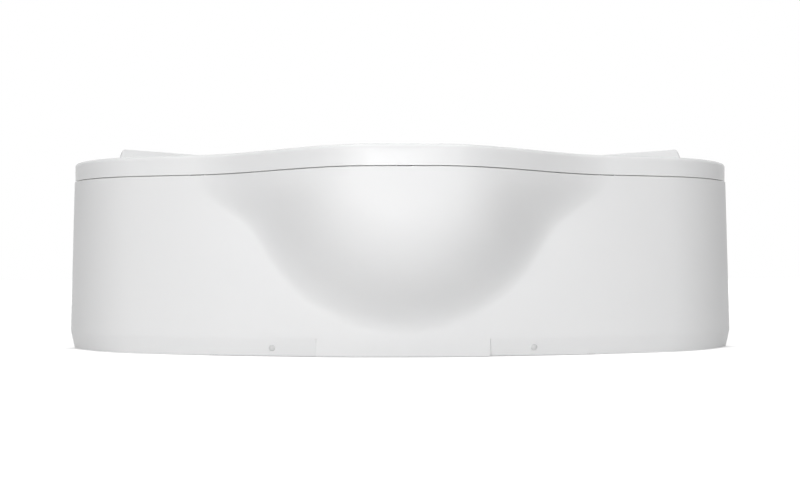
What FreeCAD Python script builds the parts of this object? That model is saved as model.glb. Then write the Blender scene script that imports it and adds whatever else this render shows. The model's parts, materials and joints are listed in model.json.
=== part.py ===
# Corner bath for a room corner: a moulded acrylic tub with a raised back deck, a front panel that
# bulges like a bowl, a steel cradle on five screw feet, wall hangers and a pop-up waste with a trap.
# Frame: millimetres, +Z up from the floor, the front towards -Y, the room's corner towards +Y.
import FreeCAD
import Part
import Sketcher
import math
import os
import re
from types import SimpleNamespace

Vector = FreeCAD.Vector

# Driving dimensions
SIZES = {
    # tub plan: a wide front arc, two tighter end arcs, straight wall sides, a rounded back corner
    "side_length": 1500,
    "front_radius_share": 1.91333,
    "end_run_share": 0.16133,
    "end_corner_radius": 25,
    "back_corner_radius": 60,
    "front_point_pitch": 48,
    # bulge of the front, a round bowl centred on the panel's top edge
    "bulge_depth_share": 0.15267,
    "bulge_lead": 7.94,
    "bulge_crown_radius_share": 0.06267,
    "bulge_foot_radius_share": 0.41667,
    "bulge_low_radius_share": 0.31333,
    # tub section
    "rim_height": 600,
    "fascia_height": 60,
    "headrest_rise": 58,
    "headrest_setback": 112,
    "headrest_ramp": 50,
    "mouth_ramp": 90,
    "rim_edge_radius": 15,
    "shell_wall": 6,
    # basin: tangent arcs and lines round its mouth, walls of one slope, a level floor
    "front_deck": 110,
    "wall_deck": 95,
    "corner_shelf_share": 0.32,
    "crown_radius_share": 0.26667,
    "flank_length_share": 0.06667,
    "waist_radius_share": 0.4,
    "lobe_radius_share": 0.15333,
    "back_arc_radius_share": 0.28,
    "ramp_lead": 20,
    "lip_roll_drop": 26,
    "lip_roll_run": 26,
    "wall_run_share": 0.10333,
    "floor_level": 150,
    "floor_fillet_rise": 80,
    "floor_fillet_share": 0.8,
    # front panel
    "seam": 2.5,
    "panel_wall": 4,
    "panel_flange": 24,
    "flange_upstand": 8,
    "panel_proud": 2.5,
    "panel_flare": 11,
    "panel_floor_gap": 2.5,
    "panel_level_pitch": 55,
    "toe_height": 52.5,
    "toe_recess": 11.5,
    "toe_gap_half_width": 255,
    # panel fixings
    "foot_screw_offset": 385,
    "foot_screw_height": 26,
    "foot_screw_radius": 2.5,
    "foot_screw_length": 16,
    "foot_screw_head_radius": 5,
    "foot_screw_head_height": 2,
    "cover_cap_radius": 9.5,
    "cover_cap_sphere_radius": 10.2,
    "cover_cap_skirt": 0.8,
    "tab_width": 17,
    "tab_height": 30,
    "bracket_wall": 3,
    "top_bracket_offset": 620,
    "top_bracket_width": 40,
    "top_bracket_leg": 12,
    "top_bracket_rise": 44,
    "top_screw_radius": 2.5,
    "top_screw_head_radius": 5,
    "top_screw_head_height": 3,
    # cradle of square tube
    "tube_size": 30,
    "tube_wall": 2,
    "end_post_inset": 130,
    "end_post_back": 10,
    "front_post_offset_share": 0.37333,
    "front_post_inset": 40.5,
    "post_drop": 8,
    "cross_rail_offset_share": 0.16667,
    "corner_post_gap": 135,
    "cross_rail_overhang": 10,
    "end_cap_wall": 2,
    "end_cap_depth": 12,
    "rim_pad_size": 30,
    "rim_pad_wall": 6,
    "board_wall": 16,
    "board_half_length": 310,
    "board_depth": 330,
    "board_drain_gap": 13,
    "board_corner_radius": 110,
    "board_screw_radius": 2.5,
    "board_screw_grip": 10,
    "board_screw_head_radius": 5,
    "board_screw_head_height": 3,
    "board_screw_inset": 110,
    "board_screw_rail_gap": 16,
    # screw feet
    "stud_radius": 6,
    "stud_length": 102,
    "stud_key_width": 9,
    "stud_key_height": 8,
    "stud_key_level": 9,
    "foot_radius": 27,
    "foot_rim": 6,
    "foot_neck_radius": 12,
    "foot_height": 16,
    "foot_socket_level": 8,
    "plug_flange_wall": 3,
    "plug_depth": 20,
    "lock_nut_radius": 11,
    "lock_nut_height": 10,
    # wall hangers
    "hanger_distance": 700,
    "hanger_width": 120,
    "hanger_drop": 66,
    "hanger_gap": 3,
    "hanger_reach": 18.5,
    "hanger_hole_radius": 4,
    "hanger_hole_spacing": 80,
    "hanger_hole_drop": 44,
    # drain
    "drain_floor_gap": 39,
    "drain_hole_radius": 26,
    "drain_flange_radius": 35,
    "drain_flange_wall": 2.5,
    "drain_throat_radius": 20,
    "drain_seat_radius": 23.5,
    "drain_seat_depth": 2.5,
    "drain_stem_radius": 25,
    "drain_stem_length": 38,
    "spider_hub_radius": 7,
    "spider_rib_wall": 3,
    "spider_height": 6,
    "drain_gasket_radius": 40,
    "drain_gasket_wall": 4,
    "cup_flange_wall": 6,
    "cup_radius": 34,
    "cup_depth": 44,
    "cup_wall": 3,
    # pop-up plug
    "plug_radius": 26,
    "plug_cap_height": 3.2,
    "plug_stem_radius": 19.5,
    "plug_stem_height": 4,
    "plug_pin_radius": 4,
    "plug_pin_length": 48,
    "plug_seal_radius": 23.1,
    "plug_seal_height": 2.2,
    "plug_neck_radius": 20,
    # trap and outlet pipe
    "pipe_radius": 20,
    "pipe_wall": 3,
    "spigot_length": 18,
    "trap_radius": 36,
    "trap_height": 64,
    "trap_dip": 58,
    "outlet_drop": 22,
    "trap_cup_radius": 42,
    "trap_cup_height": 18,
    "trap_cup_wall": 4,
    "trap_tail": 24,
    "outlet_neck_radius": 19,
    "outlet_neck_length": 9,
    "outlet_length": 160,
    "slip_nut_radius": 27,
    "slip_nut_length": 16,
    # overflow
    "overflow_drop": 75,
    "overflow_hole_radius": 24,
    "overflow_neck_radius": 22,
    "overflow_throat_radius": 18,
    "overflow_flange_radius": 33,
    "overflow_flange_wall": 5,
    "overflow_gasket_wall": 3,
    "overflow_chamber_radius": 27,
    "overflow_chamber_depth": 32,
    "overflow_chamber_wall": 3,
    "overflow_ring_radius": 30,
    "overflow_ring_wall": 5,
    "overflow_pipe_radius": 16,
    "overflow_pipe_wall": 2.5,
    "overflow_spigot_length": 46,
    "overflow_bend_radius": 40,
    "overflow_nut_radius": 22,
    "overflow_nut_length": 18,
    "overflow_inlet_level": 24,
    "overflow_inlet_reach": 62,
    "knob_radius": 35,
    "knob_stand_off": 9,
    "knob_wall": 9,
    "knob_bevel": 3,
    "knob_grip_width": 11,
    "knob_grip_height": 7,
    "knob_shaft_radius": 5,
    # control cable
    "cable_radius": 2.5,
    "cable_offset": 26,
    "cable_gland_radius": 5,
    "cable_gland_length": 12,
    "cable_bend_radius": 42,
    "clip_width": 8,
    "clip_wall": 2,
    "clip_spacing": 140,
    "clip_drop": 60,
    # fits
    "running_gap": 0.3,
    "hole_gap": 0.4,
    "seat_gap": 0.1,
    "overrun": 20,
}

FRONT_END_ANGLE = math.radians(61.8)
WALL_ANGLE = math.radians(135)
BACK_ANGLE = math.radians(180)
FLANK_ANGLE = math.radians(39)
WAIST_ANGLE = math.radians(12)
EDGE_STEPS = 2
FILLET_STEPS = 3
CORNER_STEPS = 4
HEADING_STEP = 1e-4
BULGE_EDGE_POWER = 40
BULGE_LOW_POWER = 1.6
SPIDER_RIBS = 3
NUT_SIDES = 6
SLIP_NUT_SIDES = 12
CABLE_CLIPS = 2
FOOT_SIDES = 8
QUARTER_TURN = 90
SIDES = (-1, 1)

doc = FreeCAD.newDocument("corner_bath")
sheet = doc.addObject("Spreadsheet::Sheet", "Sizes")
for row, (alias, value) in enumerate(SIZES.items(), start=1):
    sheet.set(f"A{row}", str(value))
    sheet.setAlias(f"A{row}", alias)
doc.recompute()
dim = SimpleNamespace(**{alias: float(sheet.get(alias)) for alias in SIZES})
nodes = []


# Helpers

def derived(alias, value):
    """Adds a length that follows from others to the sheet and returns its name."""
    row = len(vars(dim)) + 1
    sheet.set(f"A{row}", str(value))
    sheet.setAlias(f"A{row}", alias)
    setattr(dim, alias, value)
    return alias


def cells(text):
    """Turns a sum of size names into an expression over the sheet's cells."""
    return re.sub(r"\b(?!sqrt)[a-z][a-z_]*", r"Sizes.\g<0>", text)


def bind(target, **sizes):
    """Ties properties of an object to sums of named sizes."""
    for name, text in sizes.items():
        target.setExpression(name, cells(text))


def at(x=0.0, y=0.0, z=0.0, rotation=None):
    """A placement at a point, turned by a rotation."""
    return FreeCAD.Placement(Vector(x, y, z), rotation or FreeCAD.Rotation())


def along(direction):
    """The rotation that lays local +Z along a direction."""
    return FreeCAD.Rotation(Vector(0, 0, 1), Vector(*direction))


def yawed(angle):
    """A turn about +Z, in radians."""
    return FreeCAD.Rotation(Vector(0, 0, 1), math.degrees(angle))


def primitive(kind, name, frame, **sizes):
    """A Part primitive whose sizes are bound to the sheet."""
    made = doc.addObject("Part::" + kind, name)
    bind(made, **sizes)
    made.Placement = frame
    return made


def cylinder(name, frame, radius, height):
    """A cylinder that rises from its frame's origin along local +Z."""
    return primitive("Cylinder", name, frame, Radius=radius, Height=height)


def block(name, frame, sizes, corner):
    """A box with its lowest corner at a local point of a frame."""
    return primitive("Box", name, frame.multiply(at(*corner)),
                     Length=sizes[0], Width=sizes[1], Height=sizes[2])


def prism(name, frame, sides, radius, height):
    """A regular prism along local +Z, such as a nut."""
    made = primitive("Prism", name, frame, Circumradius=radius, Height=height)
    made.Polygon = sides
    return made


def bend(name, frame, radius, section, angle):
    """Part of a torus about local +Z that starts on local +X and turns by an angle in degrees."""
    made = primitive("Torus", name, frame, Radius1=radius, Radius2=section)
    made.Angle3 = angle
    return made


def joined(name, members):
    """One solid from overlapping or touching members."""
    made = doc.addObject("Part::MultiFuse", name)
    made.Shapes = members
    made.Refine = True
    return made


def less(name, base, tools):
    """A base with every tool cut from it."""
    tool = tools[0] if len(tools) == 1 else joined(name + "_cuts", tools)
    made = doc.addObject("Part::Cut", name)
    made.Base = base
    made.Tool = tool
    return made


def group(name, members):
    """Separate solids kept together as one sub-part."""
    made = doc.addObject("Part::Compound", name)
    made.Links = members
    return made


def node(label, made):
    """Names a finished sub-part and puts it on the list that is written out."""
    made.Label = label
    nodes.append(made)
    return made


def shaped(label, shape):
    """A sub-part from a shape worked out from the sheet's sizes."""
    made = doc.addObject("Part::Feature", label + "_form")
    made.Shape = shape
    made.Placement = at()
    return node(label, made)


def origin_plane(body, role):
    """An origin plane of a body."""
    return next(plane for plane in body.Origin.OriginFeatures if plane.Role == role)


def rectangle(sketch, width, height, rough):
    """Adds a rectangle centred on the sketch's origin and binds its two sizes to the sheet."""
    first = sketch.GeometryCount
    corners = [Vector(-rough, -rough), Vector(rough, -rough), Vector(rough, rough), Vector(-rough, rough)]
    for start, end in zip(corners, corners[1:] + corners[:1]):
        sketch.addGeometry(Part.LineSegment(start, end), False)
    for side in range(len(corners)):
        following = first + (side + 1) % len(corners)
        sketch.addConstraint(Sketcher.Constraint("Coincident", first + side, 2, following, 1))
        upright = "Vertical" if side % 2 else "Horizontal"
        sketch.addConstraint(Sketcher.Constraint(upright, first + side))
    sketch.addConstraint(Sketcher.Constraint("Symmetric", first, 1, first + 2, 1, -1, 1))
    for side, kind, text in ((first, "DistanceX", width), (first + 1, "DistanceY", height)):
        row = sketch.addConstraint(Sketcher.Constraint(kind, side, 1, side, 2, 2 * rough))
        sketch.renameConstraint(row, f"size_{side}")
        sketch.setExpression(f"Constraints.size_{side}", cells(text))


def padded_sketch(name, frame, rectangles, run):
    """A body padded along local +Z from nested rectangles, as (width, height) pairs of size names."""
    body = doc.addObject("PartDesign::Body", name)
    sketch = body.newObject("Sketcher::SketchObject", name + "_profile")
    sketch.AttachmentSupport = (origin_plane(body, "XY_Plane"), [""])
    sketch.MapMode = "FlatFace"
    for count, (width, height) in enumerate(rectangles, start=1):
        rectangle(sketch, width, height, dim.tube_size / count)
    pad = body.newObject("PartDesign::Pad", name + "_pad")
    pad.Profile = sketch
    bind(pad, Length=run)
    body.Placement = frame
    return body


def square_tube(name, frame, run):
    """A length of the cradle's square tube along local +Z."""
    bore = "tube_size - 2 * tube_wall"
    return padded_sketch(name, frame, [("tube_size", "tube_size"), (bore, bore)], run)


# Plan of the tub: headings are measured from +X, and the right half is mirrored for the left

for share in [alias for alias in SIZES if alias.endswith("_share") and alias != "floor_fillet_share"]:
    derived(share.removesuffix("_share"), dim.side_length * getattr(dim, share))
HALF_WIDTH = dim.side_length / math.sqrt(2)
ARC_SPLIT_X = HALF_WIDTH - dim.end_run
CENTRE_ANGLE = math.asin(ARC_SPLIT_X / dim.front_radius)
END_RADIUS = (dim.end_run - dim.end_corner_radius * (1 - math.sin(FRONT_END_ANGLE))) / (
    math.sin(FRONT_END_ANGLE) - math.sin(CENTRE_ANGLE))
FRONT_ARCS = (
    (0.0, CENTRE_ANGLE, dim.front_radius),
    (CENTRE_ANGLE, FRONT_END_ANGLE, END_RADIUS),
    (FRONT_END_ANGLE, WALL_ANGLE, dim.end_corner_radius),
)
SEAM_LEVEL = dim.rim_height - dim.fascia_height


def arc_walk(heading):
    """How far the front arcs have gone right and back when they reach a heading."""
    right = 0.0
    back = 0.0
    for start, end, radius in FRONT_ARCS:
        stop = min(abs(heading), end)
        if stop > start:
            right += radius * (math.sin(stop) - math.sin(start))
            back += radius * (math.cos(start) - math.cos(stop))
    return math.copysign(right, heading), back


WALL_START_X, WALL_START_RUN = arc_walk(WALL_ANGLE)
CORNER_RUN = WALL_START_X + WALL_START_RUN
BACK_RUN = CORNER_RUN - dim.back_corner_radius * (math.sqrt(2) - 1)
BASE_Y = (dim.bulge_depth + dim.bulge_lead - BACK_RUN) / 2
CORNER_Y = BASE_Y + CORNER_RUN
derived("floor_fillet_run", (dim.lobe_radius - dim.wall_run) * dim.floor_fillet_share)
FLOOR_BACK_Y = CORNER_Y - dim.corner_shelf - dim.wall_run - dim.floor_fillet_run
DRAIN_Y = FLOOR_BACK_Y - dim.drain_flange_radius - dim.drain_floor_gap
WALL_NORMAL = Vector(1, 1, 0).normalize()


def ease(share):
    """A smooth step from 0 to 1."""
    share = min(max(share, 0.0), 1.0)
    return share * share * (3 - 2 * share)


def bulge(x, drop):
    """How far the front stands out at a distance from the bowl's centre on the panel's top edge.

    Along that edge the bowl runs out wide and gently; below it, its foot comes in and turns sharper.
    """
    away = math.hypot(x, drop)
    edge = (abs(x) / away) ** BULGE_EDGE_POWER if away else 1.0
    foot = dim.bulge_low_radius + (dim.bulge_foot_radius - dim.bulge_low_radius) * edge
    power = BULGE_LOW_POWER + (1 - BULGE_LOW_POWER) * edge
    reach = max(away - dim.bulge_crown_radius, 0.0) / (foot - dim.bulge_crown_radius)
    return dim.bulge_depth * (1 - ease(reach ** power))


def front_line(heading, drop):
    """A point of the front at a heading of its base arcs and a drop below the seam."""
    x, back = arc_walk(heading)
    return Vector(x, BASE_Y + back - bulge(x, drop), 0)


def front_frame(heading, drop):
    """A point of the front with its outward normal in plan."""
    ahead = front_line(heading + HEADING_STEP, drop) - front_line(heading - HEADING_STEP, drop)
    ahead.normalize()
    return front_line(heading, drop), Vector(ahead.y, -ahead.x, 0)


def heading_at(x):
    """The heading at which the wide front arc passes a distance from the centre."""
    return math.asin(x / dim.front_radius)


def front_headings(last):
    """Headings along the front from its centre to a last one, evenly spaced in each arc."""
    headings = []
    for start, end, radius in FRONT_ARCS:
        steps = max(round(radius * (end - start) / dim.front_point_pitch), CORNER_STEPS)
        if start < last:
            headings += [start + (end - start) * step / steps for step in range(steps)]
    return headings + [last]


def mirrored(vector):
    """A vector on the other side of the plane x = 0."""
    return Vector(-vector.x, vector.y, vector.z)


def run_lengths(points):
    """Lengths along a line of points, from its first point to each of them."""
    lengths = [0.0]
    for start, end in zip(points, points[1:]):
        lengths.append(lengths[-1] + (end - start).Length)
    return lengths


def rounded(start, corner, end, steps):
    """Points of a parabola that leaves a start for a corner and swings to an end, as number pairs."""
    shares = [step / steps for step in range(steps + 1)]
    return [tuple(a * (1 - u) ** 2 + 2 * b * u * (1 - u) + c * u ** 2 for a, b, c in zip(start, corner, end))
            for u in shares]


# Basin: its mouth is a chain of tangent lines and arcs, walked with the basin on the left

def heading_vector(heading):
    """The unit vector along a heading."""
    return Vector(math.cos(heading), math.sin(heading), 0)


def left_of(heading):
    """The unit vector to the left of a heading."""
    return Vector(-math.sin(heading), math.cos(heading), 0)


def line_from(start, heading, length):
    """A straight stretch of the mouth."""
    return SimpleNamespace(start=start, end=start + heading_vector(heading) * length,
                           heading=heading, end_heading=heading)


def arc_from(start, heading, end_heading, radius):
    """A round stretch of the mouth that turns from one heading to another."""
    side = math.copysign(radius, end_heading - heading)
    end = start + (left_of(heading) - left_of(end_heading)) * side
    return SimpleNamespace(start=start, end=end, heading=heading, end_heading=end_heading)


def wall_line_gap(point):
    """Distance from a point, along +X and +Y in sum, to the line that the mouth keeps from a wall."""
    return CORNER_Y - dim.wall_deck * math.sqrt(2) - point.x - point.y


def basin_mouth():
    """The right half of the basin's mouth at rim level, as a front, a ramp and a back chain.

    The lobe's arc ends on the line beside the wall, and the back arc ends on the shelf's edge.
    """
    front = Vector(0, BASE_Y - dim.bulge_depth + dim.front_deck, 0)
    crown = arc_from(front, 0.0, FLANK_ANGLE, dim.crown_radius)
    flank = line_from(crown.end, FLANK_ANGLE, dim.flank_length)
    waist = arc_from(flank.end, FLANK_ANGLE, WAIST_ANGLE, dim.waist_radius)
    trial = arc_from(waist.end, WAIST_ANGLE, WALL_ANGLE, dim.lobe_radius)
    end_length = wall_line_gap(trial.end) / (math.cos(WAIST_ANGLE) + math.sin(WAIST_ANGLE))
    end_line = line_from(waist.end, WAIST_ANGLE, end_length)
    lobe = arc_from(end_line.end, WAIST_ANGLE, WALL_ANGLE, dim.lobe_radius)
    lead = line_from(lobe.end, WALL_ANGLE, dim.ramp_lead)
    ramp = line_from(lead.end, WALL_ANGLE, dim.mouth_ramp)
    shelf_y = CORNER_Y - dim.corner_shelf
    back_start_y = shelf_y - dim.back_arc_radius * (1 + math.cos(WALL_ANGLE))
    side = line_from(ramp.end, WALL_ANGLE, (back_start_y - ramp.end.y) * math.sqrt(2))
    back_arc = arc_from(side.end, WALL_ANGLE, BACK_ANGLE, dim.back_arc_radius)
    shelf = line_from(back_arc.end, BACK_ANGLE, back_arc.end.x)
    return [crown, flank, waist, end_line, lobe, lead], ramp, [side, back_arc, shelf]


def moved_edge(stretch, inset, level):
    """The edge of one stretch of the mouth, moved into the basin by an inset and set at a level."""
    headings = (stretch.heading, (stretch.heading + stretch.end_heading) / 2, stretch.end_heading)
    lift = Vector(0, 0, level)
    first = stretch.start + left_of(headings[0]) * inset + lift
    last = stretch.end + left_of(headings[2]) * inset + lift
    turn = headings[2] - headings[0]
    if not turn:
        return Part.LineSegment(first, last).toShape()
    chord = (stretch.end - stretch.start).Length
    radius = chord / (2 * math.sin(turn / 2))
    centre = stretch.start + left_of(headings[0]) * radius
    middle = centre - left_of(headings[1]) * (radius - inset) + lift
    return Part.Arc(first, middle, last).toShape()


def ramp_edge(start, end):
    """A curve that leaves one point and reaches another along the wall's direction."""
    pull = heading_vector(WALL_ANGLE) * (Vector(end.x - start.x, end.y - start.y, 0).Length / 2)
    curve = Part.BezierCurve()
    curve.setPoles([start, start + pull, end - pull, end])
    return curve.toShape()


def flipped(edge):
    """An edge mirrored in the plane x = 0 and walked the other way."""
    return edge.mirror(Vector(), Vector(1, 0, 0)).Edges[0]


def ring(front, ramp, back):
    """One closed ring of the tub from its right half: lists of edges for its four parts."""
    return SimpleNamespace(
        front=[flipped(edge) for edge in reversed(front)] + front, right=[ramp],
        back=back + [flipped(edge) for edge in reversed(back)], left=[flipped(ramp)])


def basin_ring(front_pair, back_pair):
    """A ring of the basin from (inset, level) pairs for its front and its raised back."""
    front, ramp, back = basin_mouth()
    front_edges = [moved_edge(stretch, *front_pair) for stretch in front]
    back_edges = [moved_edge(stretch, *back_pair) for stretch in back]
    beside = left_of(WALL_ANGLE)
    start = ramp.start + beside * front_pair[0] + Vector(0, 0, front_pair[1])
    end = ramp.end + beside * back_pair[0] + Vector(0, 0, back_pair[1])
    return ring(front_edges, ramp_edge(start, end), back_edges)


def rim_ring(inset, drop):
    """A ring of the tub's rim, moved in from its outline and down from its top."""
    level = dim.rim_height - drop
    raised = level + dim.headrest_rise
    poles = []
    for heading in front_headings(WALL_ANGLE):
        place, normal = front_frame(heading, 0.0)
        place -= normal * inset
        poles.append(Vector(place.x, place.y, level))
    ramp_middle = heading_vector(WALL_ANGLE) * dim.headrest_setback
    half_ramp = heading_vector(WALL_ANGLE) * (dim.headrest_ramp / 2)
    start = poles[-1] + ramp_middle - half_ramp
    end = poles[-1] + ramp_middle + half_ramp + Vector(0, 0, dim.headrest_rise)
    curve = Part.BSplineCurve()
    whole = [mirrored(pole) for pole in reversed(poles[1:] + [start])] + poles + [start]
    curve.buildFromPoles(whole, False, 3)
    radius = dim.back_corner_radius - inset
    centre = Vector(0, CORNER_Y - dim.back_corner_radius * math.sqrt(2), raised)
    turn = centre + WALL_NORMAL * radius
    wall = Part.LineSegment(end, turn).toShape()
    corner = Part.Arc(turn, centre + Vector(0, radius, 0), mirrored(turn)).toShape()
    ramp = ramp_edge(start, end)
    return SimpleNamespace(front=[curve.toShape()], right=[ramp], back=[wall, corner, flipped(wall)],
                           left=[flipped(ramp)])


def wall_inset(level, depth):
    """How far the basin's wall has moved in from its mouth at a level, on a skin at a depth."""
    fall = dim.rim_height - dim.floor_level
    return dim.wall_run * (dim.rim_height - level) / fall - depth * math.hypot(1, dim.wall_run / fall)


def lip_profile(top, depth):
    """(inset, level) pairs of the rolled lip below a deck at a level."""
    deck = top - depth
    low = deck - dim.lip_roll_drop
    inset = wall_inset(deck, depth)
    return rounded((inset - dim.lip_roll_run, deck), (inset, deck), (wall_inset(low, depth), low), EDGE_STEPS)


def fillet_profile(depth):
    """(inset, level) pairs of the fillet between the basin's wall and its floor."""
    floor = dim.floor_level - depth
    high = floor + dim.floor_fillet_rise
    inset = wall_inset(floor, depth)
    return rounded((wall_inset(high, depth), high), (inset, floor), (inset + dim.floor_fillet_run, floor),
                   FILLET_STEPS)


def bands_between(rings):
    """Ruled faces between rings that follow each other."""
    faces = []
    for outer, inner in zip(rings, rings[1:]):
        for part in ("front", "right", "back", "left"):
            for start, end in zip(getattr(outer, part), getattr(inner, part)):
                faces += Part.makeLoft([Part.Wire([start]), Part.Wire([end])], False, True).Faces
    return faces


def chain_ends(edges):
    """The two end points of a chain of edges."""
    vertexes = Part.Wire(Part.sortEdges(edges)[0]).OrderedVertexes
    return vertexes[0].Point, vertexes[-1].Point


def flat_between(outer, inner):
    """A level face between two chains of edges."""
    sides = []
    for end in chain_ends(outer):
        near = min(chain_ends(inner), key=end.distanceToPoint)
        sides.append(Part.LineSegment(end, near).toShape())
    return Part.Face(Part.Wire(Part.sortEdges(outer + inner + sides)[0]))


def skin_faces(depth):
    """Faces of the tub's skin at a depth, with its lowest and innermost rings."""
    edge = dim.rim_edge_radius
    turns = [math.pi / 2 * step / EDGE_STEPS for step in range(EDGE_STEPS + 1)]
    rim = [rim_ring(depth, dim.fascia_height)]
    rim += [rim_ring(edge - (edge - depth) * math.cos(turn), edge - (edge - depth) * math.sin(turn))
            for turn in turns]
    top = dim.rim_height
    pairs = zip(lip_profile(top, depth), lip_profile(top + dim.headrest_rise, depth))
    basin = [basin_ring(front, back) for front, back in pairs]
    basin += [basin_ring(pair, pair) for pair in fillet_profile(depth)]
    deck = [flat_between(rim[-1].front, basin[0].front), flat_between(rim[-1].back, basin[0].back)]
    for part in ("right", "left"):
        deck += Part.makeRuledSurface(getattr(rim[-1], part)[0], getattr(basin[0], part)[0]).Faces
    return bands_between(rim) + deck + bands_between(basin), rim[0], basin[-1]


def overflow_frame():
    """The frame of the overflow hole: on the basin's back wall, +Z into the basin, +X to the right."""
    level = dim.rim_height - dim.overflow_drop
    slope = math.atan2(dim.rim_height - dim.floor_level, dim.wall_run)
    inward = Vector(0, -math.sin(slope), math.cos(slope))
    rotation = FreeCAD.Rotation(Vector(1, 0, 0), Vector(), inward, "ZXY")
    return at(0.0, CORNER_Y - dim.corner_shelf - wall_inset(level, 0.0), level, rotation)


def tub_shape():
    """The moulded tub, one wall thickness between two skins, with its two waste holes."""
    outer, outer_edge, outer_floor = skin_faces(0.0)
    inner, inner_edge, inner_floor = skin_faces(dim.shell_wall)
    hem = bands_between([outer_edge, inner_edge])
    floors = [Part.Face(Part.Wire(Part.sortEdges(ring.front + ring.right + ring.back + ring.left)[0]))
              for ring in (outer_floor, inner_floor)]
    shell = Part.makeShell(outer + inner + hem + floors)
    shell.sewShape()
    solid = Part.Solid(shell)
    if solid.Volume < 0:
        solid.reverse()
    drain = Part.makeCylinder(dim.drain_hole_radius, dim.floor_level, Vector(0, DRAIN_Y, 0))
    drain.translate(Vector(0, 0, dim.overrun))
    overflow = Part.makeCylinder(dim.overflow_hole_radius, 2 * dim.overrun, Vector(0, 0, -dim.overrun))
    overflow.Placement = overflow_frame()
    return solid.cut([drain, overflow])


# Front panel: a bulging wall with an inward flange on top and a recessed toe on both sides

PANEL_TOP = SEAM_LEVEL - dim.seam
TOE_TOP = dim.panel_floor_gap + dim.toe_height
TOE_LEAN = math.atan(dim.toe_recess / dim.toe_height)


def panel_push(level):
    """How far the panel stands in front of the tub's outline at a level above the toe."""
    return dim.panel_proud + dim.panel_flare * (PANEL_TOP - level) / (PANEL_TOP - TOE_TOP)


def toe_push(level):
    """How far the leaning toe stands in front of the tub's outline."""
    return panel_push(TOE_TOP) - (TOE_TOP - level) * math.tan(TOE_LEAN)


def panel_section(level, push, overrun):
    """A closed section of the panel's block: its front line, both ends and a back line.

    Args:
        level: Height of the section.
        push: Distance of the front line in front of the tub's outline.
        overrun: How far the ends run on past the panel and its back line lies behind them.
    """
    headings = front_headings(FRONT_END_ANGLE)
    half = []
    for heading in headings:
        place, normal = front_frame(heading, SEAM_LEVEL - level)
        place += normal * push
        half.append(Vector(place.x, place.y, level))
    lengths = run_lengths([front_line(heading, 0.0) for heading in headings])
    line = [mirrored(point) for point in reversed(half[1:])] + half
    curve = Part.BSplineCurve()
    curve.interpolate(line, Parameters=[-length for length in reversed(lengths[1:])] + lengths)
    ahead = Vector(math.cos(FRONT_END_ANGLE), math.sin(FRONT_END_ANGLE), 0)
    end = half[-1] + ahead * overrun
    back = end + Vector(0, dim.overrun + overrun, 0)
    corners = [line[-1], end, back, mirrored(back), mirrored(end), line[0]]
    if not overrun:
        corners = [line[-1], back, mirrored(back), line[0]]
    sides = [Part.LineSegment(start, stop).toShape() for start, stop in zip(corners, corners[1:])]
    return Part.Wire([curve.toShape()] + sides)


def panel_block(inset, overrun, top, bottom):
    """The panel's full block with its front moved back by an inset, between two levels."""
    steps = round((PANEL_TOP - TOE_TOP) / dim.panel_level_pitch)
    levels = [TOE_TOP + (top - TOE_TOP) * step / steps for step in range(steps + 1)]
    wall = Part.makeLoft([panel_section(level, panel_push(level) - inset, overrun) for level in levels], True)
    crease = panel_section(TOE_TOP, panel_push(TOE_TOP) - inset, overrun)
    flush = Part.makeLoft([panel_section(bottom, panel_push(TOE_TOP) - inset, overrun), crease], True, True)
    lean = Part.makeLoft([panel_section(bottom, toe_push(bottom) - inset, overrun), crease], True, True)
    half_gap = dim.toe_gap_half_width - inset
    corner = Vector(-half_gap, -dim.side_length, -dim.overrun)
    slab = Part.makeBox(2 * half_gap, dim.side_length, PANEL_TOP, corner)
    return wall.fuse([flush.common(slab), lean.cut(slab)])


def flange_block(levels, inset, overrun):
    """A block between two levels whose front lies behind the outline at the panel's top by an inset."""
    sections = []
    for level in levels:
        section = panel_section(PANEL_TOP, -inset, overrun)
        section.translate(Vector(0, 0, level - PANEL_TOP))
        sections.append(section)
    return Part.makeLoft(sections, True, True)


def panel_shape():
    """The front panel with its screw holes."""
    block_outside = panel_block(0.0, 0.0, PANEL_TOP, dim.panel_floor_gap)
    hollow = panel_block(dim.panel_wall, dim.overrun, PANEL_TOP - dim.panel_wall, 0.0)
    mouth_levels = (PANEL_TOP - 2 * dim.panel_wall, PANEL_TOP + dim.overrun)
    mouth = flange_block(mouth_levels, dim.panel_flange, dim.panel_flange)
    upstand_levels = (PANEL_TOP, PANEL_TOP + dim.flange_upstand)
    upstand = flange_block(upstand_levels, dim.panel_flange - dim.panel_wall, 0.0)
    holes = []
    for frame in foot_screw_frames():
        hole = Part.makeCylinder(dim.foot_screw_radius + dim.hole_gap, 2 * dim.overrun,
                                 Vector(0, 0, -dim.overrun))
        hole.Placement = frame
        holes.append(hole)
    for frame in top_bracket_frames():
        hole = Part.makeCylinder(dim.top_screw_radius + dim.hole_gap, 2 * dim.overrun,
                                 Vector(0, TOP_SCREW_INSET, -dim.overrun))
        hole.Placement = frame
        holes.append(hole)
    return block_outside.fuse(upstand).cut([hollow, mouth] + holes).removeSplitter()


TOP_SCREW_INSET = dim.shell_wall + dim.running_gap + (dim.bracket_wall + dim.top_bracket_leg) / 2


def toe_edges(heading):
    """Points of the leaning toe at a heading: at its lower edge and at the crease above it."""
    points = []
    for level in (dim.panel_floor_gap, TOE_TOP):
        place, normal = front_frame(heading, SEAM_LEVEL - level)
        place += normal * toe_push(level)
        points.append(Vector(place.x, place.y, level))
    return points


def toe_point(heading):
    """The point of the leaning toe at a heading and at the screws' height."""
    low, high = toe_edges(heading)
    return low + (high - low) * ((dim.foot_screw_height - low.z) / dim.toe_height)


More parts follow.
